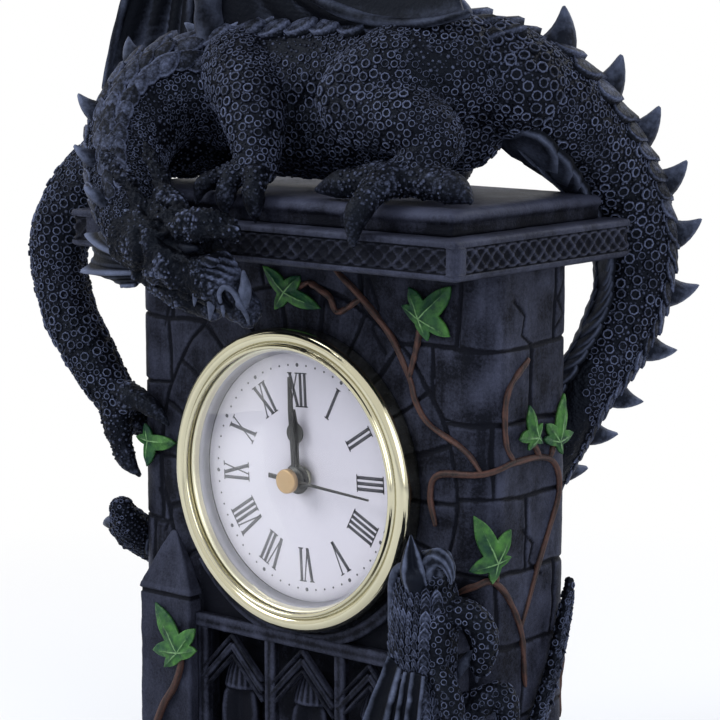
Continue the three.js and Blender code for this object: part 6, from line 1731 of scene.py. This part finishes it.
YOUNG_BODY = table([[46.4, -26, 50, 6.4], [45.8, -26.5, 60, 7.4], [45.2, -26.5, 70, 8], [45.2, -26, 79, 8],
                    [45.6, -26, 86, 7.4], [46.6, -26.6, 90, 5.6]])
YOUNG_SNOUT = table([[47, -27, 89, 4.2], [49.2, -28, 93, 3.5], [51.8, -28.6, 94.6, 2.6],
                     [54, -28.9, 93.6, 1.7], [55.2, -29.1, 91.2, 0.9], [55.1, -29.1, 89.8, 0.4]])
YOUNG_EAR = table([[46.4, -29.8, 87.5, 3.4], [46, -31, 91.5, 3.3], [45.6, -31.2, 95.4, 2.2],
                   [45, -31, 99.4, 0.35]])
YOUNG_ARM = table([[49, -25, 80, 4], [54.4, -24, 81.6, 3.6], [59, -23, 79.2, 3.2], [60.2, -22.6, 74.6, 2.8],
                   [58.6, -22.2, 69.5, 2.4]])
YOUNG_INNER_ARM = table([[50, -28, 82, 3.4], [51.6, -29, 76, 3], [51, -29.4, 69.5, 2.6]])
YOUNG_FORE_LEG = table([[51.5, -29.6, 68.5, 2.8], [54.8, -30.2, 65, 3], [56.6, -30.2, 60, 2.8],
                        [58.2, -29.8, 52, 2.4]])
YOUNG_LEG = table([[50, -24, 56, 4.4], [57, -21.5, 60, 3.6], [61.5, -18.5, 63, 2.7], [63.4, -18.6, 60.4, 2.7],
                   [64, -18.6, 56, 2.2]])
YOUNG_RIM = table([[39.4, -30, 70, 0.9], [39.2, -30.5, 79, 1], [39.4, -30.5, 88, 1.1], [41, -30.5, 91.2, 1.1],
                   [44, -30.2, 92.4, 1.0]])
YOUNG_CLAWS = tables(
    [[55, -21, 71, 1.4], [53.4, -22.4, 68.5, 1.2], [52.4, -22, 65.8, 0.3]],
    [[55.6, -20, 71, 1.4], [56.2, -20.6, 67.8, 1.1], [56, -20.4, 65, 0.3]],
    [[60, -17, 60, 1.8], [60.2, -14.5, 58, 1.4], [59.6, -12.6, 56, 0.4]],
    [[59.6, -18.5, 60, 1.7], [61, -18, 56.8, 1.3], [60, -17.5, 54.4, 0.4]],
    [[58, -19.5, 60.5, 1.6], [57.6, -20.6, 57, 1.2], [57, -20.2, 54.8, 0.4]])
YOUNG_TAIL = table([[48, -25.5, 48, 5], [52, -24, 38, 3.8], [58.6, -17, 36, 2.6], [58.7, -4, 46, 2.1],
                    [58.5, 6, 62, 1.7], [58.5, 11, 76, 1.6], [58.7, 12.4, 83, 1]])
EAR_OPENING = 3.83


def creased(t, angle):
    """The snout's radius: fine upright wrinkles."""
    return 1 + 0.05 * np.sin(7 * angle + 9 * t) + 0.04 * np.sin(48 * t + 3 * angle)


def brushed(t, angle):
    return 0.35 + 0.3 * np.sin(7 * angle + 9 * t) + 0.4 * t


def cupped(t, angle):
    """The ear's radius, pressed in on its open side between its foot and its tip."""
    return 1 - 0.7 * bell(apart(angle, EAR_OPENING), 0.62, 4) * ramp(t, 0.3, 0.45) * (1 - ramp(t, 0.78, 0.95))


def cup_wear(t, angle):
    """The ear's wear: bright on the two rims beside its open side, dark between them."""
    side = apart(angle, EAR_OPENING)
    return 0.25 + 0.75 * (bell(side - 0.8, 0.2) - 0.6 * bell(side, 0.55, 4)) + 0 * t


# Each folded wing's five ribs: where they start across and up, where they end across, and how far forward.
FANS = [((41.7, 45, 46.5, 48.8, 52), (71.7, 69.2, 68.6, 69, 68.6), (30.8, 38.6, 42.5, 45.8, 50), -34.4),
        ((50.6, 51.4, 52, 52.6, 53), (68, 68, 68, 68, 68), (52, 53.4, 54.8, 56.2, 57.6), -28.6)]


def folded_wing(tops, heights, ends, depth):
    """A folded wing as a hanging fan: ribs are a power of a squared cosine across it, and its free edge is
    drawn up between them by the same cosine."""
    u, v = np.linspace(0, 1, 56)[:, None], np.linspace(0, 1, 121)[None]
    rib = np.cos(4 * math.pi * v) ** 2
    place = np.linspace(0, 1, 5)
    x = np.interp(v, place, tops) * (1 - u) + np.interp(v, place, ends) * u
    high = np.interp(v, place, heights)
    z = high + (47 + 1.6 * (1 - rib) - high) * u
    y = depth - (0.5 + 1.1 * u) * rib**2 + 0.3 * u
    rough = layered(xyz(x, 0, z), 2.4, 97, 3)
    return thick_sheet(xyz(x, y + 0.15 * rough, z) * MM, 0.8 * MM, 0.1 + 0.8 * rib**3 + 0.2 * rough)


class CLOCK_OT_hatchling(bpy.types.Operator):
    """The small dragon: ringed hide, crest plates, ears, folded wings and claws"""
    bl_idname = "clock.hatchling"
    bl_label = "Hatchling"

    def execute(self, context):
        limbs = [YOUNG_BODY, YOUNG_ARM, YOUNG_INNER_ARM, YOUNG_FORE_LEG, YOUNG_LEG, YOUNG_TAIL]
        points, faces, normals = fused([tube(limb * [1, 1, 1, 0.95], 1.0 * MM, 18) for limb in limbs],
                                       0.45 * MM, 5)
        fold, pebble = layered(points, 3 * MM, 41), pebbled(points, 1.2 * MM, 43)
        lifted = points + normals * (0.25 * fold + 0.35 * pebble)[:, None] * MM
        piece("hatchling_skin", Surface(lifted, [faces], 0.1 + 0.3 * fold + 0.6 * pebble**2),
              "dragon_casting", ("hatchling_body", "hatchling_tail"))
        self.scales(points, normals)
        belly, side = (0.15, -1, 0.1), (0.9, -0.3, -0.5)
        rows = [(YOUNG_BODY, belly, 0.24, (-58, -46, -34, -22, -10, 2, 14), (0.16, 0.11, 0.14)),
                (YOUNG_BODY, belly, 0.26, (30, 50), (0.27, 0.22, 0.26)),
                (YOUNG_TAIL, side, 0.9, (-24, 24), (0.62, 0.5, 0.5))]
        plates = [rows_along(chevron_plate(), limb, crest, gap, angles, size, 0.97, (0.03, 0.97), number)
                  for number, (limb, crest, gap, angles, size) in enumerate(rows)]
        spikes = rows_along(hooked_spike(), YOUNG_TAIL, side, 2.4, (0,), (0.7, 0.7, 1.0), 0.9, (0.06, 0.95),
                            7)
        piece("hatchling_plates", joined(*plates, spikes), "dragon_casting")
        nails = [tube(claw, 0.4 * MM, 10, shape=knuckled, wear_and_shade=0.7) for claw in (*YOUNG_CLAWS, YOUNG_RIM)]
        nails += [tube(YOUNG_SNOUT, 0.3 * MM, 24, shape=creased, wear_and_shade=brushed),
                  tube(YOUNG_EAR, 0.3 * MM, 40, shape=cupped, wear_and_shade=cup_wear)]
        piece("hatchling_claws", joined(*nails), "dragon_casting", look="claw")
        wings = [folded_wing(*fan) for fan in FANS]
        piece("hatchling_wing_fans", joined(*wings), "dragon_casting", ("hatchling_wings",), look="wing")
        return {"FINISHED"}

    def scales(self, points, normals):
        """Small rings of mixed size strewn over the skin, where it isn't inside the tower."""
        random = np.random.default_rng(5)
        inside = (np.abs(points[:, 0]) < TOWER_HALF) & (points[:, 1] > TOWER_FRONT - 1 * MM)
        outer = np.flatnonzero(~inside)
        chosen = random.choice(outer, min(9000, len(outer)), replace=False)
        size = (0.55 + 0.4 * random.random(len(chosen))) * MM
        kept = spread(points[chosen], size * 0.98, np.argsort(-size))
        at = chosen[kept]
        forward = unit(random.normal(size=(len(at), 3)))
        rings = copies(ring_scale(), points[at] + normals[at] * 0.05 * MM, normals[at], forward, size[kept],
                       random.random(len(at)))
        piece("hatchling_scales", rings, "dragon_casting")


class CLOCK_OT_materials(bpy.types.Operator):
    """Finishes for the CAD nodes that stay"""
    bl_idname = "clock.materials"
    bl_label = "Node finishes"

    def execute(self, context):
        for node, slot in node_slots().items():
            mesh = frame["nodes"][node].data
            mesh.materials.clear()
            mesh.materials.append(finish(slot))
            if slot in ("stone_casting", "dragon_casting", "wing_casting", "vine_paint", "leaf_paint"):
                for label in ("wear_and_shade", "tone"):
                    values = np.full(len(mesh.vertices), 0.5, np.float32)
                    mesh.attributes.new(label, "FLOAT", "POINT").data.foreach_set("value", values)
        return {"FINISHED"}


def node_slots():
    """Each CAD node's material slot, from the record."""
    return {part["node"]: part["material_slot"] for part in frame["record"]["subparts"]}


class CLOCK_PT_pieces(bpy.types.Panel):
    """Lists the clock's pieces"""
    bl_label = "Dragon clock"
    bl_space_type = "VIEW_3D"
    bl_region_type = "UI"
    bl_category = "Clock"

    def draw(self, context):
        for group in (context.scene.clock_sizes, context.scene.clock_colours):
            for name in group.bl_rna.properties.keys():
                if name not in ("rna_type", "name"):
                    self.layout.prop(group, name)
        for operator in OPERATORS:
            self.layout.operator(operator.bl_idname)


OPERATORS = (CLOCK_OT_stage, CLOCK_OT_tower, CLOCK_OT_mouldings, CLOCK_OT_windows, CLOCK_OT_dragon_hide,
             CLOCK_OT_wings, CLOCK_OT_hatchling, CLOCK_OT_ivy, CLOCK_OT_insert, CLOCK_OT_materials)
CLASSES = (ClockSizes, ClockColours, *OPERATORS, CLOCK_PT_pieces)


def register():
    for made in CLASSES:
        bpy.utils.register_class(made)
    bpy.types.Scene.clock_sizes = bpy.props.PointerProperty(type=ClockSizes)
    bpy.types.Scene.clock_colours = bpy.props.PointerProperty(type=ClockColours)


def unregister():
    del bpy.types.Scene.clock_sizes, bpy.types.Scene.clock_colours
    for made in reversed(CLASSES):
        bpy.utils.unregister_class(made)


def main():
    register()
    for operator in OPERATORS:
        group, name = operator.bl_idname.split(".")
        getattr(getattr(bpy.ops, group), name)()


if __name__ == "__main__":
    main()
